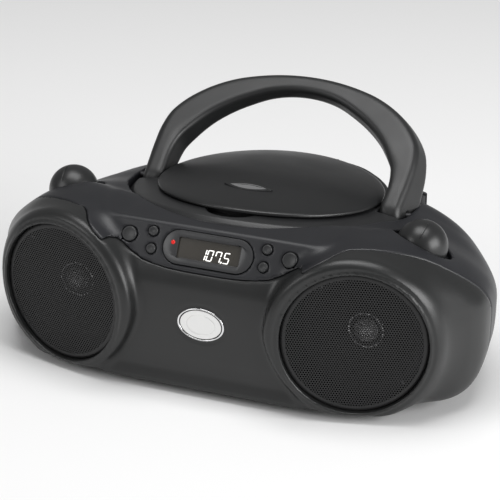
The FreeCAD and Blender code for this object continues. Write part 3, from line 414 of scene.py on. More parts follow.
def paint_cad_nodes():
    """Every CAD node gets the procedural finish of its own slot, unless FINISH names another."""
    for part in RECORD["subparts"]:
        data = frame["nodes"][part["node"]].data
        data.materials.clear()
        data.materials.append(PAINT[FINISH.get(part["node"], part["material_slot"])])
        data.set_sharp_from_angle(angle=math.radians(35))


# ---- places ----

def middle(node):
    """Centre of a CAD node's box, in millimetres."""
    low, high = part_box(node)
    return (low + high) * (MM / 2)


def point_of(joint):
    """A point on a joint's axis, in millimetres."""
    return Vector(JOINTS[joint]["pos_m"]) * MM


def frame_at(origin, across, out):
    """A placement with local X across and local Z outward."""
    out, across = Vector(out).normalized(), Vector(across).normalized()
    up = out.cross(across)
    return Matrix.Translation(origin) @ Matrix((across, up, out)).transposed().to_4x4()


TILT = math.radians(5)  # the deck slopes down towards the back by this much
DECK_Y, DECK_Z = 15.5, 96.6  # middle of the deck's top
DECK = Matrix.Translation((0, DECK_Y, DECK_Z)) @ Matrix.Rotation(-TILT, 4, "X")
HANDLE_REST = 42  # degrees between the deck and the resting handle
HANDLE = Matrix.Translation(point_of("handle_fold")) @ Matrix.Rotation(
    math.radians(HANDLE_REST) - TILT, 4, "X")
HANDLE[0][3] = 0
POD = Vector((92.3, -89.5, 50.0))  # middle of the right grille's face
YAW = math.radians(14.4)  # each pod is turned outwards by this much
PANEL_Y, PANEL_Z = -85.0, 89.5  # middle of the display's bezel
PANEL_OUT = Vector((0, -25.8, 14.2)).normalized()
KEYS = [f"button_{side}_{row}" for side in ("left", "right") for row in ("big", "upper", "lower")]
BIG_KEY, SMALL_KEY = 4.5, 2.9  # radii
EMBLEM = middle("emblem_ring")
KNOB = point_of("volume_turn")
KNOB_LEAN = math.radians(14)
INLET, JACK, AERIAL = middle("mains_inlet"), middle("audio_jack"), middle("aerial_base")


def key_radius(key):
    return BIG_KEY if key.endswith("big") else SMALL_KEY


def deck_coordinates(y, z):
    """Distance back along the deck and height above it, from the middle of its top."""
    y, z = y - DECK_Y, z - DECK_Z
    return y * math.cos(TILT) - z * math.sin(TILT), y * math.sin(TILT) + z * math.cos(TILT)


def panel_coordinates(y, z):
    """Height up the control panel from the display's centre, and distance out of the panel."""
    y, z = y - PANEL_Y, z - PANEL_Z
    return y * PANEL_OUT.z - z * PANEL_OUT.y, y * PANEL_OUT.y + z * PANEL_OUT.z


def pod_coordinates(x, y, z):
    """Distance from a pod's axis, distance in front of its grille, and how far outboard, -1 to 1."""
    x, y = np.abs(x) - POD.x, y - POD.y
    out = x * math.sin(YAW) - y * math.cos(YAW)
    across = x * math.cos(YAW) + y * math.sin(YAW)
    radius = np.sqrt(across**2 + (z - POD.z) ** 2) + 1e-4
    return radius, out, across / radius


# ---- cabinet ----

STATIONS = [  # y, half width, underside and top
    (-92, 126, 5, 99.6), (-76, 137, 4, 101.0), (-57, 146.8, 3.6, 101), (-39, 154.0, 3.6, 101.5),
    (-17, 153.6, 3.7, 101.2), (2.5, 149, 3.8, 99), (24, 138, 5, 98.5), (44, 124.5, 6, 97),
    (76, 98, 10, 74), (96, 86, 15, 61), (104, 80, 19, 54),
]
HALF, LOW, TOP = (curve([(s[0], s[i]) for s in STATIONS]) for i in (1, 2, 3))
# The front between the pods: its y at each height.
BOW = curve([(-4, -98.2), (4, -96.8), (10, -95.4), (15, -94.3), (19, -94.2), (26, -94.8), (36, -95.2),
             (62, -95), (70, -93.9), (76.8, -91.6), (85, -87.4), (94, -82.4), (102.6, -77.8), (112, -72.6)])
# The parting line, by distance from the middle: its height under the panel, and its y beside it.
SMILE = curve([(-28, 77.9), (0, 77.0), (28, 78.2), (41, 80.6), (47, 83.4), (57, 89.5), (62, 91), (75, 91)])
PLAN = curve([(40, -110), (50, -104), (57, -98.5), (66, -95.5), (72, -92), (76, -87), (79, -81.5),
              (82, -77.5), (88, -75), (110, -65), (134, -47), (155, -27), (170, -13)])
# How square the body's cross-section is at each y: 2 is an ellipse, and larger is squarer.
UPPER_POWER = curve([(-90, 3.4), (-76, 3.4), (-57, 3.0), (-39, 2.5), (-17, 2.3), (44, 2.3), (104, 3.0)])
LOWER_POWER = curve([(-90, 6), (-76, 7), (-62, 9), (-50, 8.5), (-35, 5.5), (10, 4.2), (104, 3.4)])
WAIST, WAIST_BLEND = 44, 6  # height where the lower power gives way to the upper one
FRONT_Y, BACK_Y = -76, 104  # ends of the long body
DECK_HALF, BEND = 89.0, 0.001  # the deck's half width, and how much its ends droop, per mm
WALL, PARTING_GAP = 2.4, 0.12  # the gap is half of the one between the two cabinet halves
GRILLE_RADIUS = 43.0


def tube(x, y, z):
    """The long body of the cabinet, front to back."""
    half, low, top = HALF(y), LOW(y), TOP(y)
    centre, tall = (low + top) / 2, (top - low) / 2
    u, w = np.abs(x) / half + 1e-4, np.abs(z - centre) / tall + 1e-4
    upper = UPPER_POWER(y)
    power = upper + (LOWER_POWER(y) - upper) / (1 + np.exp((z - WAIST) / WAIST_BLEND))
    level = (u**power + w**power) ** (1 / power)
    slope = np.sqrt((u / level) ** (2 * power - 2) / half**2 + (w / level) ** (2 * power - 2) / tall**2)
    field = (level - 1) / slope
    field = both(field, FRONT_Y - y, 26)
    return both(field, y - BACK_Y, 3)


def pods(x, y, z):
    """Both speaker pods: a broad round ridge, with a groove and a thin lip round the grille's opening."""
    radius, out, outboard = pod_coordinates(x, y, z)
    low_inner = np.clip((POD.z - z) / 45, 0, 1) * np.clip(-outboard, 0, 1)
    reach, crown, corner = 51.2 - 1.4 * outboard - 7 * low_inner, 3.1, 7.0 + 2.5 * outboard
    a, b = radius - (reach - corner), out - (crown - corner)
    field = np.hypot(np.maximum(a, 0), np.maximum(b, 0)) + np.minimum(np.maximum(a, b), 0) - corner
    pod_depth, groove_radius, groove_width, groove_depth = 50, 45.6, 1.1, 0.8
    field = both(field, -pod_depth - out, 14)
    groove = np.exp(-(((radius - groove_radius) / groove_width) ** 2)) * (out > -3)
    return field + groove_depth * groove


def centre(x, y, z):
    """The bowed front between the pods."""
    face = (BOW(z) - y) * fall_of(BOW, z)
    field = both(face, np.abs(x) - 70, 12)
    top = 101.0 - (y + 77.8) * 0.09
    field = both(field, z - top, 2.5)
    return both(field, y + 50, 1)


def opening(x, y, z):
    """The round recess that holds a grille."""
    radius, out, _ = pod_coordinates(x, y, z)
    return both(radius - GRILLE_RADIUS, -2.2 - out, 0.6)


def skin(x, y, z):
    """The cabinet's outer surface, before its parting line and openings."""
    field = join(tube(x, y, z), centre(x, y, z), 9)
    _, _, outboard = pod_coordinates(x, y, z)
    field = join(field, pods(x, y, z), 9.5 + 5.5 * outboard)
    mound = np.exp(-((np.abs(x) - KNOB.x) ** 2 + (y + 42) ** 2) / 640) / (1 + np.exp((74 - z) / 2.5))
    mound_height, underside = 4.2, 4.6
    field = both(field - mound_height * mound, underside - z, 3)
    return less(field, opening(x, y, z), 1.3)


def drum(x, y):
    """Distance outside the deck's egg-shaped outline, in the deck's frame."""
    widest = 1.5
    depth = np.where(y < widest, 86.5, 72.0)
    return oval(x, y - widest, DECK_HALF, depth)


def front_side(x, y, z):
    """Below 0 in the front cabinet: in front of the parting line in plan and below the control panel."""
    across = np.abs(x)
    plan = (y - PLAN(across)) * fall_of(PLAN, across)
    smile = np.where(across < 75, (z - SMILE(across)) * fall_of(SMILE, across), 60.0)
    behind = np.where(across < 81, y + 70.0, -60.0)
    return np.maximum(np.minimum(plan, smile), behind)


def front_cabinet(x, y, z):
    """The front half, with its speaker openings and a shallow groove round the emblem."""
    outer = skin(x, y, z)
    field = np.maximum(outer, -outer - WALL)
    radius, out, _ = pod_coordinates(x, y, z)
    field = less(field, np.maximum(radius - 41.0, -26 - out), 0.6)
    round_emblem = oval(x, z - EMBLEM.z, 16.0, 11.4)
    field = field + 0.55 * np.clip(1 - np.abs(round_emblem) / 1.3, 0, 1) * (y < -88)
    return both(field, front_side(x, y, z) + PARTING_GAP, 0.9)


def knob_seat(x, y, z):
    """The pointed hollow that a knob sits in."""
    side, ahead = np.abs(x) - KNOB.x, y - KNOB.y
    across = side * math.cos(KNOB_LEAN) - (z - KNOB.z) * math.sin(KNOB_LEAN)
    up = side * math.sin(KNOB_LEAN) + (z - KNOB.z) * math.cos(KNOB_LEAN)
    radius, apart, depth = 20.4, 3.9, 7.5
    leaf = np.hypot(across + 1.0, ahead + apart) - radius
    leaf = both(leaf, np.hypot(across + 1.0, ahead - apart) - radius, 1.0)
    return np.maximum(leaf, -depth - up)


def rear_openings(x, y, z):
    """Battery opening, mains inlet, jack, screw recesses and aerial bore in the back."""
    back = 100.5 - y
    hole = slab(x, z - 36.7, 53.6, 15.2, 0.6)
    hole = np.minimum(hole, slab(x - INLET.x, z - INLET.z, 9.5, 6.2, 0.8))
    hole = np.minimum(hole, np.hypot(x - JACK.x, z - JACK.z) - 4.2)
    hole = np.minimum(hole, np.hypot(np.abs(x) - 72, z - 25) - 3.4)
    hole = np.maximum(hole, back - 4)
    bore = np.maximum(np.hypot(x - AERIAL.x, y - AERIAL.y) - 3.3, 40 - z)
    return np.minimum(hole, bore)


def panel_holes(x, y, z):
    """Round holes for the keys and the recess of the display's bezel."""
    up, out = panel_coordinates(y, z)
    hole = pill(x, up, 56.5, 20.5)
    for key in KEYS:
        at = middle(key)
        key_up, _ = panel_coordinates(at.y, at.z)
        clearance = 0.25
        hole = np.minimum(hole, np.hypot(x - at.x, up - key_up) - (key_radius(key) + clearance))
    return np.maximum(hole, -6.5 - out)


def folded_handle(x, y, z):
    """The room the handle needs when it is folded down, as a slab with the arch's outline."""
    turn = math.radians(HANDLE_REST - JOINTS["handle_fold"]["range_deg"][1]) - TILT
    pivot = point_of("handle_fold")
    back, rise = y - pivot.y, z - pivot.z
    along = back * math.cos(turn) + rise * math.sin(turn)
    lift = rise * math.cos(turn) - back * math.sin(turn)
    half_x, half_y, half_thick = 89.0, 87.8, 12.3
    arch = (np.abs(x / half_x) ** 3 + np.maximum(along / half_y, 0) ** 3) ** (1 / 3)
    below = HANDLE_RAMP * along - half_thick - lift
    return np.maximum(np.maximum((arch - 1) * 85, below), -along - half_thick)


def rear_cabinet(x, y, z):
    """The rear half, with its knob seats, deck opening, panel and back openings."""
    outer = skin(x, y, z)
    outer = less(outer, knob_seat(x, y, z), 0.8)
    outer = less(outer, folded_handle(x, y, z), 0.8)
    up, high = deck_coordinates(y, z)
    rim = drum(x, up)
    void = np.maximum(outer + WALL, np.minimum(2.6 - rim, high + 36))
    field = np.maximum(outer, -void)
    field = less(field, np.maximum(rim - 0.5, -high - 60), 0.8)
    field = less(field, panel_holes(x, y, z), 0.25)
    field = less(field, rear_openings(x, y, z), 0.7)
    return both(field, PARTING_GAP - front_side(x, y, z), 0.9)


def build_cabinets():
    """Both cabinet halves."""
    mesh = shell_mesh(front_cabinet, (-155, -107, 2), (155, -27, 106))
    piece("front_housing", "housing", "front_plastic", mesh, ["front_cabinet"])
    mesh = shell_mesh(rear_cabinet, (-156, -97, 2), (156, 106, 106))
    piece("rear_housing", "housing", "rear_plastic", mesh, ["rear_cabinet"])


# ---- deck, lid and disc well ----

# Inner edge of the channel that the handle lies in, from its pivot to the middle.
CHANNEL_EDGE = [(71, 17.5), (64.2, 35), (55.3, 48), (44.2, 58.5), (33.6, 66), (21.5, 72.5), (0, 76.8)]
HANDLE_RAMP = 14 / 89.5  # how much thinner the handle gets per mm towards its top


def channel_outline():
    """The handle's channel in the deck, in plan."""
    half = smooth_path(CHANNEL_EDGE)
    left = [(-x, y) for x, y in half[::-1][1:]]
    inner, outer, front, beyond = 71, 88.8, -9.3, 120
    corners = [(-inner, front), (-outer, front), (-outer, beyond),
               (outer, beyond), (outer, front), (inner, front)]
    return np.array(list(map(tuple, half)) + left + corners)


def deck_field(x, y, z):
    """The deck surround in the deck's own frame."""
    z = z + BEND * x * x
    radial = drum(x, y)
    bevel, foot, wall, well_radius = 3.2, -34, 2.2, 63.6
    field = both(radial, z, 0.8)
    field = both(field, (radial + z + bevel) * 0.7071, 0.8)
    field = both(field, foot - z, 0.8)
    ramp = np.clip(y - 6.2, 0, None) * HANDLE_RAMP
    channel = np.maximum(outline_field(x, y, CHANNEL), -21.8 + ramp - z)
    field = less(field, channel, 1.0)
    hinge_pocket = np.maximum(slab(x, y - 62.3, 24, 6.3, 0.5), -9.5 - z)
    field = less(field, hinge_pocket, 0.6)
    finger_scoop = np.maximum(np.hypot(x, y + 62) - 16, -3.5 - z)
    field = less(field, finger_scoop, 0.9)
    field = np.maximum(field, -field - wall)
    open_foot = np.minimum(-31.5 - z, 10.0)
    field = np.maximum(field, open_foot)
    behind_panel = -np.maximum(y + 20, z + 14)
    field = np.maximum(field, behind_panel)
    return less(field, np.maximum(np.hypot(x, y) - well_radius, -60 - z), 0.8)


CHANNEL = channel_outline()


def build_deck():
    """The raised surround of the lid."""
    mesh = shell_mesh(deck_field, (-91, -87, -42), (91, 76, 3), FINE_STEP)
    piece("deck_top", "housing", "deck_plastic", mesh, ["deck_surround"], DECK)


def hinge_lug(x, pivot):
    """One hinge eye of the lid and the block that joins it to the lid, from x on."""
    length, bore, radius = 6, 1.6, 2.3
    profile = rounded([(bore, 0), (radius, 0), (radius, length), (bore, length)], 0.25)
    ring, sides = lathe(profile, 28)
    foot = [(x, -2.2), (x + length, -2.2), (x + length, 1.0), (x, 1.0)]
    block, walls = extruded(foot, 1.4, 6.6)
    return (ring[:, [2, 0, 1]] + (x, pivot.y, pivot.z), sides), (block + (0, pivot.y, pivot.z), walls)


def build_lid():
    """A shallow egg-shaped dome with a turned-down rim, two hinge lugs and a bright lens-shaped badge."""
    radius, half_width, front_stretch, wall = 63.7, 70, 1.11, 2
    top = [(radius, 0.5), (radius, 1.5), (radius - 0.25, 1.95), (radius - 0.8, 2.3)]
    for t in np.linspace(0.965, 0, 26):
        top.append((radius * t, 2.45 + 6.4 * (1 - t**2.1)))
    under = [(r, h - wall) for r, h in top[:3:-1]]
    under[-1] = (radius - 2.4, 0.5)
    points, faces = lathe(top + under, 144, (half_width / radius, 1))
    points[:, 2] += 0.5 - 0.0008 * points[:, 0] ** 2
    points[:, 1] *= np.where(points[:, 1] < 0, front_stretch, 1.0)
    pivot = DECK.inverted() @ point_of("lid_hinge")
    lugs = [mesh for x in (-21, 15) for mesh in hinge_lug(x, pivot)]
    piece("disc_door", "lid", "lid_plastic", merged((points, faces), *lugs),
          ["disc_lid"], DECK, sharp=40)
    badge = DECK @ Matrix.Translation((0, -39.5, 6.3)) @ Matrix.Rotation(math.radians(7), 4, "X")
    lens, bed = pillow(lens_outline(15.0, 4.5), 1.2, 0.9), extruded(lens_outline(15.6, 5.0), 0.0, 1.55, 0.35)
    piece("lid_badge_lens", "lid", "chrome_trim", lens, ["lid_badge"], badge, sharp=40)
    piece("lid_badge_bed", "lid", "lid_plastic", bed, [], badge, sharp=40)


def lens_outline(reach, bulge, count=28):
    """A pointed lens, as two arcs."""
    points = []
    for side in (-1, 1):
        for t in np.linspace(-1, 1, count, endpoint=False):
            points.append((side * t * reach, side * bulge * (1 - t * t)))
    return points


def pillow(outline, base, rise):
    """A low domed plate on a closed outline: rings shrink towards the middle as they rise."""
    outline = np.array(outline, float)
    levels = [(1.0, 0.0), (1.0, base * 0.75), (0.985, base * 0.9), (0.96, base)]
    levels += [(t, base + rise * (1 - t**2)) for t in (0.9, 0.8, 0.65, 0.5, 0.33, 0.16)]
    points, count = [], len(outline)
    for scale, z in levels:
        points += [(x * scale, y * scale, z) for x, y in outline]
    points.append((0, 0, base + rise))
    faces = bands(len(levels), count)
    last = (len(levels) - 1) * count
    faces += [[last + i, last + (i + 1) % count, len(points) - 1] for i in range(count)]
    faces.append(list(range(count))[::-1])
    if twice_area(outline) < 0:
        faces = [face[::-1] for face in faces]
    return np.array(points), faces


# ---- handle and knobs ----

# The handle's two arches in its own frame, from the pivot's height to the middle.
HANDLE_INNER = [(71.6, 0), (71.6, 17.4), (69.4, 27), (65, 34.6), (55.4, 47), (44.2, 56.4), (33.8, 62.8),
                (22.3, 68.3), (0, 72.0)]
HANDLE_OUTER = [(86.8, 0), (87.6, 18), (87.2, 34), (84.6, 45.2), (78.6, 55), (68.4, 65.4), (51, 76.4),
                (31, 83), (0, 86.6)]
HANDLE_HALF_THICK = 11.5


def arch_outline():
    """The handle's face: outer arch one way, inner arch back."""
    sides = []
    for line in (HANDLE_OUTER, HANDLE_INNER):
        mirrored = [(-x, y) for x, y in reversed(line[:-1])]
        sides.append(smooth_path([(line[0][0], -14)] + line + mirrored + [(-line[0][0], -14)]))
    return np.concatenate([sides[0], sides[1][::-1]])


ARCH = arch_outline()


def near_outer_arch(x, y):
    """1 near the handle's outer edge, 0 near its inner one."""
    return np.clip((np.sqrt((x / 80) ** 2 + (np.maximum(y, 0) / 79) ** 2) - 0.95) * 12, 0, 1)


def handle_field(x, y, z):
    """The carrying handle in its own frame: X across, Y up its front face, Z out of it."""
    outline = outline_field(x, y, ARCH)
    barrel = np.hypot(y, z) - HANDLE_HALF_THICK
    back_face = (-HANDLE_HALF_THICK + HANDLE_RAMP * np.maximum(y, 0) - z) * 0.988
    faces = both(z - HANDLE_HALF_THICK, back_face, 4.0)
    depth = np.where(y < 0, barrel, np.maximum(faces, -y - HANDLE_HALF_THICK))
    draft = np.where(outline > -8, 0.30 * np.clip(z - 1, -9, 12), 0) * near_outer_arch(x, y)
    field = both(outline + draft, depth, 4.2)
    pin_bore = np.maximum(np.hypot(y, z) - 2.6, np.abs(np.abs(x) - 79.3) - 20)
    return less(field, pin_bore, 0.4)


def build_handle():
    """The carrying handle, at its resting angle."""
    mesh = shell_mesh(handle_field, (-90, -14, -14), (90, 87, 14), FINE_STEP)
    piece("handle_arch", "handle", "handle_plastic", mesh, ["carry_handle"], HANDLE)


KNOB_RADIUS, KNOB_SUNK = 15.3, 1.8


def pointer_rib():
    """A low raised line down the front of a knob's dome."""
    low, high, buried = math.radians(38), math.radians(84), -0.6
    points = []
    for t in np.linspace(low, high, 16):
        rise = max(0.55 * min(1, (t - math.radians(36)) * 6, (math.radians(87) - t) * 8), 0.05)
        section = ((-0.75, buried), (-0.55, rise * 0.8), (-0.25, rise),
                   (0.25, rise), (0.55, rise * 0.8), (0.75, buried))
        for x, lift in section:
            reach = KNOB_RADIUS + lift
            points.append((x, -reach * math.cos(t), reach * math.sin(t)))
    faces = []
    for a in range(0, len(points) - 6, 6):
        faces += [[a + j, a + j + 6, a + j + 7, a + j + 1] for j in range(5)]
        faces.append([a + 5, a + 11, a + 6, a])
    faces += [list(range(6)), list(range(len(points) - 6, len(points)))[::-1]]
    return points, faces


def build_knobs():
    """Domed knobs with a raised pointer rib."""
    dome = [(0, -16), (3, -16), (3, -4.5), (14.9, -4.2), (15.25, -3.7)]
    dome += arc((0, 0), (KNOB_RADIUS, KNOB_RADIUS), np.linspace(0, math.pi / 2 - 0.06, 22))
    dome.append((0, KNOB_RADIUS))
    mesh = merged(lathe(dome, 96), pointer_rib())
    for word, side, body in (("function", -1, "function_dial"), ("volume", 1, "volume_dial")):
        axis = Vector((side * math.sin(KNOB_LEAN), 0, math.cos(KNOB_LEAN)))
        across = Vector((math.cos(KNOB_LEAN), 0, -side * math.sin(KNOB_LEAN)))
        place = frame_at(Vector((side * KNOB.x, KNOB.y, KNOB.z)) - axis * KNOB_SUNK, across, axis)
        piece(f"{word}_dome", body, "knob_plastic", mesh, [f"{word}_knob"], place,
              sharp=38)


# ---- speakers ----

PITCH, HOLE = 1.55, 0.55  # spacing and radius of the holes in a grille
SHEET = 0.55


def grille_mesh():
    """The flat face of a round steel sheet, truly perforated in a staggered pattern."""
    edge, rows, columns = 41.2, int(46 / (PITCH * 0.866)), 30
    points, faces, corner = [], [], {}
    turns = [math.pi / 6 * i for i in range(12)]

    def hexagon_point(x, y):
        key = (round(x, 3), round(y, 3))
        if key not in corner:
            corner[key] = len(points)
            points.append((x, y))
        return corner[key]

    cells = []
    for row in range(-rows, rows + 1):
        for column in range(-columns, columns + 1):
            x = (column + 0.5 * (row % 2)) * PITCH
            y = row * PITCH * math.sqrt(3) / 2
            if math.hypot(x, y) < edge - PITCH * 0.62:
                cells.append((x, y))
    reach = PITCH / math.sqrt(3)
    for x, y in cells:
        ring = []
        for turn in turns:
            ring.append(len(points))
            points.append((x + HOLE * math.cos(turn), y + HOLE * math.sin(turn)))
        outer = [hexagon_point(x + reach * math.cos(math.pi / 6 + math.pi / 3 * i),
                               y + reach * math.sin(math.pi / 6 + math.pi / 3 * i)) for i in range(6)]
        for i in range(6):
            a, b, c = ring[(2 * i - 1) % 12], ring[2 * i], ring[2 * i + 1]
            before, after = outer[(i - 1) % 6], outer[i]
            faces += [[before, after, b], [before, b, a], [after, c, b]]
    return points, faces


def build_grille(word, side):
    """Sheet, turned edge and rim of one grille."""
    flat, faces = grille_mesh()
    flat = np.array(flat)
    front = np.column_stack([flat, np.zeros(len(flat))])
    count = len(front)
    back = front - (0, 0, SHEET)
    edges = {}
    for face in faces:
        for edge in zip(face, face[1:] + face[:1]):
            edges[edge] = True
    walls = [[a, a + count, b + count, b] for a, b in edges if (b, a) not in edges]
    turned = [[i + count for i in face[::-1]] for face in faces]
    sheet = np.concatenate([front, back]), faces + turned + walls
    rim = lathe([(39.6, -0.56), (39.6, -0.02), (41.0, -0.02), (41.9, -0.22), (42.55, -0.75), (42.7, -1.4),
                 (41.9, -1.4), (41.4, -0.8), (40.8, -0.56)], 144)
    axis = Vector((side * math.sin(YAW), -math.cos(YAW), 0))
    at = Vector((side * POD.x, POD.y, POD.z))
    place = frame_at(at, Vector((math.cos(YAW), side * math.sin(YAW), 0)), axis)
    piece(f"grille_mesh_{word}", "housing", "grille_metal", merged(sheet, rim),
          [f"grille_{word}"], place, sharp=30)


def build_driver(word):
    """Paper cone with a rolled surround, a bright ring and a dome painted pale as a painted highlight."""
    low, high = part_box(f"speaker_basket_{word}")
    at = Vector(((low.x + high.x) * (MM / 2), low.y * MM, (low.z + high.z) * (MM / 2)))
    place = frame_at(at, (1, 0, 0), (0, -1, 0))
    nearer = 6
    near = frame_at(at - Vector((0, nearer, 0)), (1, 0, 0), (0, -1, 0))
    roll, surround = np.linspace(0.15, math.pi - 0.1, 9), 29.8
    cone = [(10.4, -11.0), (27.6, -1.0)]
    cone += arc((surround, -0.9), (-2.0, 1.6), roll)
    cone += [(32.0, -1.0), (32.0, -1.6)]
    cone += arc((surround, -1.5), (1.5, 1.3), roll)
    cone += [(27.6, -1.8), (10.4, -11.8)]
    piece(f"driver_cone_{word}", "housing", "cone_paper", lathe(cone, 96),
          [f"speaker_cone_{word}"], place, sharp=50)
    ring = arc((10.5, -10.4), (0.75, 0.9), np.linspace(0, 2 * math.pi, 12, endpoint=False))
    piece(f"driver_ring_{word}", "housing", "chrome_trim", lathe(ring, 72), [], near)
    dome = [(0, -11.5), (7.3, -11.5), (7.3, -10.4)]
    dome += arc((0, -10.2), (7.0, 4.2), np.linspace(0, math.pi / 2 - 0.1, 10))
    dome.append((0, -6.0))
    # The dome's pale finish is a painted highlight.
    piece(f"driver_dome_{word}", "housing", "basket_metal", lathe(dome, 72), [], near,
          paint="pale_dome_painted_highlight")


# ---- control panel ----

WINDOW_X = 0.6  # the window is this far right of the bezel's middle
SCREEN_FRONT, SCREEN_BACK = -0.9, -2.4  # heights above the panel
DIGITS_LOW, DIGITS_HIGH = -0.95, -0.8


def panel_place(x, up):
    """A placement on the control panel, from the display's centre."""
    across = Vector((1, 0, 0))
    height = PANEL_OUT.cross(across)
    return frame_at(Vector((0, PANEL_Y, PANEL_Z)) + across * x + height * up, across, PANEL_OUT)


def build_keys():
    """Round keys, slightly hollowed, with a soft edge."""
    for key in KEYS:
        radius = key_radius(key)
        profile = [(0, -5), (radius, -5), (radius, 0.35), (radius - 0.12, 0.75), (radius - 0.4, 1.0),
                   (radius - 0.75, 1.08), (radius - 1.2, 0.96), (radius * 0.4, 0.72), (0, 0.66)]
        at = middle(key)
        up, _ = panel_coordinates(at.y, at.z)
        body = next(name for name, nodes in RECORD["behaviour"]["bodies"].items() if key in nodes)
        piece(f"{key}_cap", body, "key_plastic", lathe(profile, 56), [key],
              panel_place(at.x, up), sharp=40)


def stadium(length, height, count=20):
    """A bar outline with round ends."""
    reach, radius = (length - height) / 2, height / 2
    points = []
    for side, start in ((1, -math.pi / 2), (-1, math.pi / 2)):
        for i in range(count + 1):
            turn = start + math.pi * i / count
            points.append((side * reach + radius * math.cos(turn), radius * math.sin(turn)))
    return points


SEGMENTS = {"1": "bc", "0": "abcdef", "7": "abcf", "5": "acdfg"}


def segment_outline(letter):
    """Corners of one lit segment in a digit 1 wide and 2 high, about its centre."""
    half, thick = 0.5, 0.085
    flat = {"a": 1.0, "g": 0.0, "d": -1.0}
    if letter in flat:
        y, tip, end = flat[letter] * (1 - thick), half - thick, half - 2 * thick
        return [(-tip, y), (-end, y + thick), (end, y + thick),
                (tip, y), (end, y - thick), (-end, y - thick)]
    x = {"b": half, "c": half, "e": -half, "f": -half}[letter] * (1 - 2 * thick)
    low, high = (0.06, 0.94) if letter in "bf" else (-0.94, -0.06)
    return [(x, high), (x + thick, high - thick), (x + thick, low + thick),
            (x, low), (x - thick, low + thick), (x - thick, high - thick)]


def build_display():
    """Grey bezel, dark screen with lit digits, its window and the power lamp."""
    window = [(WINDOW_X + x, y) for x, y in rounded_box(19.5, 6.0, 0.8)]
    plate = plate_with_hole(stadium(56, 20), window, -1.4, 0.6, 0.45)
    piece("bezel_frame", "housing", "bezel_plastic", plate, ["display_bezel"],
          panel_place(0, 0), sharp=35)
    face = [(WINDOW_X + x, y) for x, y in rounded_box(19.6, 6.1, 0.8)]
    screen = extruded(face, SCREEN_BACK, SCREEN_FRONT)
    piece("display_screen", "housing", "display_face", screen,
          ["display_module", "display_window"], panel_place(0, 0), sharp=35)
    marks = []
    tall, wide, slant, level = 3.3, 3.7, 0.16, -2.1
    for digit, x in (("1", -2.8), ("0", 1.5), ("7", 6.6), ("5", 11.9)):
        for letter in SEGMENTS[digit]:
            outline = segment_outline(letter)
            corners = [(x + u * wide + v * tall * slant, level + v * tall) for u, v in outline]
            marks.append(extruded(corners, DIGITS_LOW, DIGITS_HIGH))
    decimal_point = [(8.3, -5.4), (9.3, -5.4), (9.45, -4.4), (8.45, -4.4)]
    marks.append(extruded(decimal_point, DIGITS_LOW, DIGITS_HIGH))
    piece("display_digits", "housing", "display_face", merged(*marks), [], panel_place(0, 0), sharp=20,
          paint="digit_light")
    lamp = [(0, -2), (1.3, -2), (1.3, 0.55), (1.15, 0.85), (0.7, 1.08), (0, 1.16)]
    piece("power_lamp", "housing", "red_lamp", lathe(lamp, 32), ["power_light"],
          panel_place(-22, 2.2), sharp=60)


def rounded_box(half_x, half_y, corner, count=5):
    """A rectangle's outline with round corners."""
    points = []
    for i, (sx, sy) in enumerate(((1, 1), (-1, 1), (-1, -1), (1, -1))):
        for k in range(count + 1):
            turn = math.pi / 2 * (i + k / count)
            points.append((sx * (half_x - corner) + corner * math.cos(turn),
                           sy * (half_y - corner) + corner * math.sin(turn)))
    return points


def plate_with_hole(outline, hole, low, high, edge):
    """A plate with one opening, its outer and inner top edges rounded, joined ring to ring."""
    count = 160
    rings = []
    centre_x = float(np.mean([p[0] for p in hole]))
    for closed, sign in ((outline, 1), (hole, -1)):
        loop = np.array(closed + closed[:1], float)
        along = np.concatenate([[0], np.cumsum(np.linalg.norm(np.diff(loop, axis=0), axis=1))])
        start = np.argmin(np.abs(np.arctan2(loop[:-1, 1], loop[:-1, 0] - centre_x)))
        places = (along[start] + np.linspace(0, along[-1], count, endpoint=False)) % along[-1]
        ring = np.stack([np.interp(places, along, loop[:, i]) for i in (0, 1)], axis=1)
        inset = sign * side_normals(ring) * edge
        rings.append([(ring, low), (ring, high - edge), (ring - inset * 0.3, high - edge * 0.3),
                      (ring - inset, high)])
    order = rings[0] + rings[1][::-1]
    points = np.concatenate([np.column_stack([ring, np.full(count, z)]) for ring, z in order])
    return points, bands(len(order), count, closed=True)


def build_emblem():
    """A plain polished oval: outer ring, dark gap and a domed plate with a fine engraved line; the plate's
    near-white colour is a painted reflection.
    """
    at = Vector((0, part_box("emblem_ring")[0].y * MM, EMBLEM.z))
    place = frame_at(at, (1, 0, 0), (0, -1, 0))
    ring = [(14.8, -1.6), (14.8, -0.35), (14.6, -0.08), (14.2, 0.0), (13.8, -0.08), (13.6, -0.35),
            (13.6, -1.6)]
    piece("emblem_rim", "housing", "chrome_trim", lathe(ring, 120, (1, 10.2 / 14.8)),
          ["emblem_ring"], place, sharp=50)
    reach, sag = 13.0, 0.2
    face = [(0, -1.6), (reach, -1.6), (reach, -0.35), (12.8, -0.2)]
    face += [(reach * t, -sag * t * t) for t in (0.96, 0.9, 0.82, 0.74)]
    face += [(9.2, -0.12), (9.05, -0.25), (8.9, -0.11)]
    face += [(reach * t, -sag * t * t) for t in (0.62, 0.48, 0.32, 0.16)]
    face.append((0, 0.0))
    # The plate's near-white finish is a painted reflection.
    piece("emblem_dome", "housing", "chrome_trim", lathe(face, 120, (1, 9.0 / 13.2)), ["emblem_plate"],
          place, sharp=50, paint="pale_plate_painted_reflection")


# ---- stage: floor, lights and camera ----

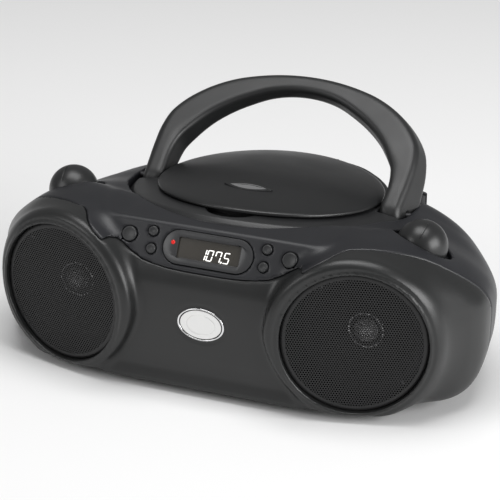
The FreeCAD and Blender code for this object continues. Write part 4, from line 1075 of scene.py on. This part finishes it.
def build_stage():
    """A pale floor under a pale sky."""
    data = bpy.data.meshes.new("floor")
    reach = 6.0
    corners = [(-reach, -reach, 0), (reach, -reach, 0), (reach, reach, 0), (-reach, reach, 0)]
    data.from_pydata(corners, [], [[0, 1, 2, 3]])
    paint = bpy.data.materials.new("floor_paint")
    paint.use_nodes = True
    shader = paint.node_tree.nodes["Principled BSDF"]
    shader.inputs["Base Color"].default_value = (0.86, 0.86, 0.86, 1)
    shader.inputs["Roughness"].default_value = 0.9
    shader.inputs["Specular IOR Level"].default_value = 0.0
    data.materials.append(paint)
    floor = bpy.data.objects.new("floor", data)
    SCENE.collection.objects.link(floor)
    world = bpy.data.worlds.new("studio")
    SCENE.world = world
    world.use_nodes = True
    world.node_tree.nodes["Background"].inputs["Color"].default_value = (1, 1, 1, 1)
    world.node_tree.nodes["Background"].inputs["Strength"].default_value = 0.24
    SCENE.view_settings.view_transform = "Standard"


def soft_light(name, place, target, size, power):
    """A rectangular soft light that faces a point, in metres and watts."""
    light = bpy.data.lights.new(name, "AREA")
    light.shape = "RECTANGLE"
    light.size, light.size_y = size
    light.energy = power
    made = bpy.data.objects.new(name, light)
    made.location = place
    made.rotation_mode = "QUATERNION"
    made.rotation_quaternion = (Vector(target) - Vector(place)).to_track_quat("-Z", "Y")
    SCENE.collection.objects.link(made)


def build_camera():
    """Camera at the photograph's viewing angle, level but for a slight roll."""
    azimuth, elevation, roll = math.radians(22.1), math.radians(23.05), math.radians(0.45)
    back = Vector((math.sin(azimuth) * math.cos(elevation), -math.cos(azimuth) * math.cos(elevation),
                   math.sin(elevation)))
    right = Vector((math.cos(azimuth), math.sin(azimuth), 0))
    up = back.cross(right)
    across = right * math.cos(roll) + up * math.sin(roll)
    above = up * math.cos(roll) - right * math.sin(roll)
    data = bpy.data.cameras.new("camera")
    data.lens, data.sensor_width = 156.6, 36
    data.clip_start, data.clip_end = 0.05, 50
    camera = bpy.data.objects.new("camera", data)
    camera.matrix_world = Matrix.Translation((0.4563, -1.1439, 0.5813)) @ Matrix(
        (across, above, back)).transposed().to_4x4()
    SCENE.collection.objects.link(camera)
    SCENE.camera = camera


paint_cad_nodes()
build_cabinets()
build_deck()
build_lid()
build_handle()
build_knobs()
for side_word, side_sign in (("left", -1), ("right", 1)):
    build_grille(side_word, side_sign)
    build_driver(side_word)
build_keys()
build_display()
build_emblem()
build_stage()
# Soft lights: place and target, size in metres and power in watts.
soft_light("key", (1.6, -0.35, 0.65), (0, -0.05, 0.05), (1.3, 0.9), 25)
soft_light("fill", (-1.2, -1.3, 1.0), (0, -0.05, 0.05), (0.8, 0.8), 6)
soft_light("top", (0.0, -0.1, 1.8), (0, 0, 0.08), (1.4, 1.0), 21)
build_camera()
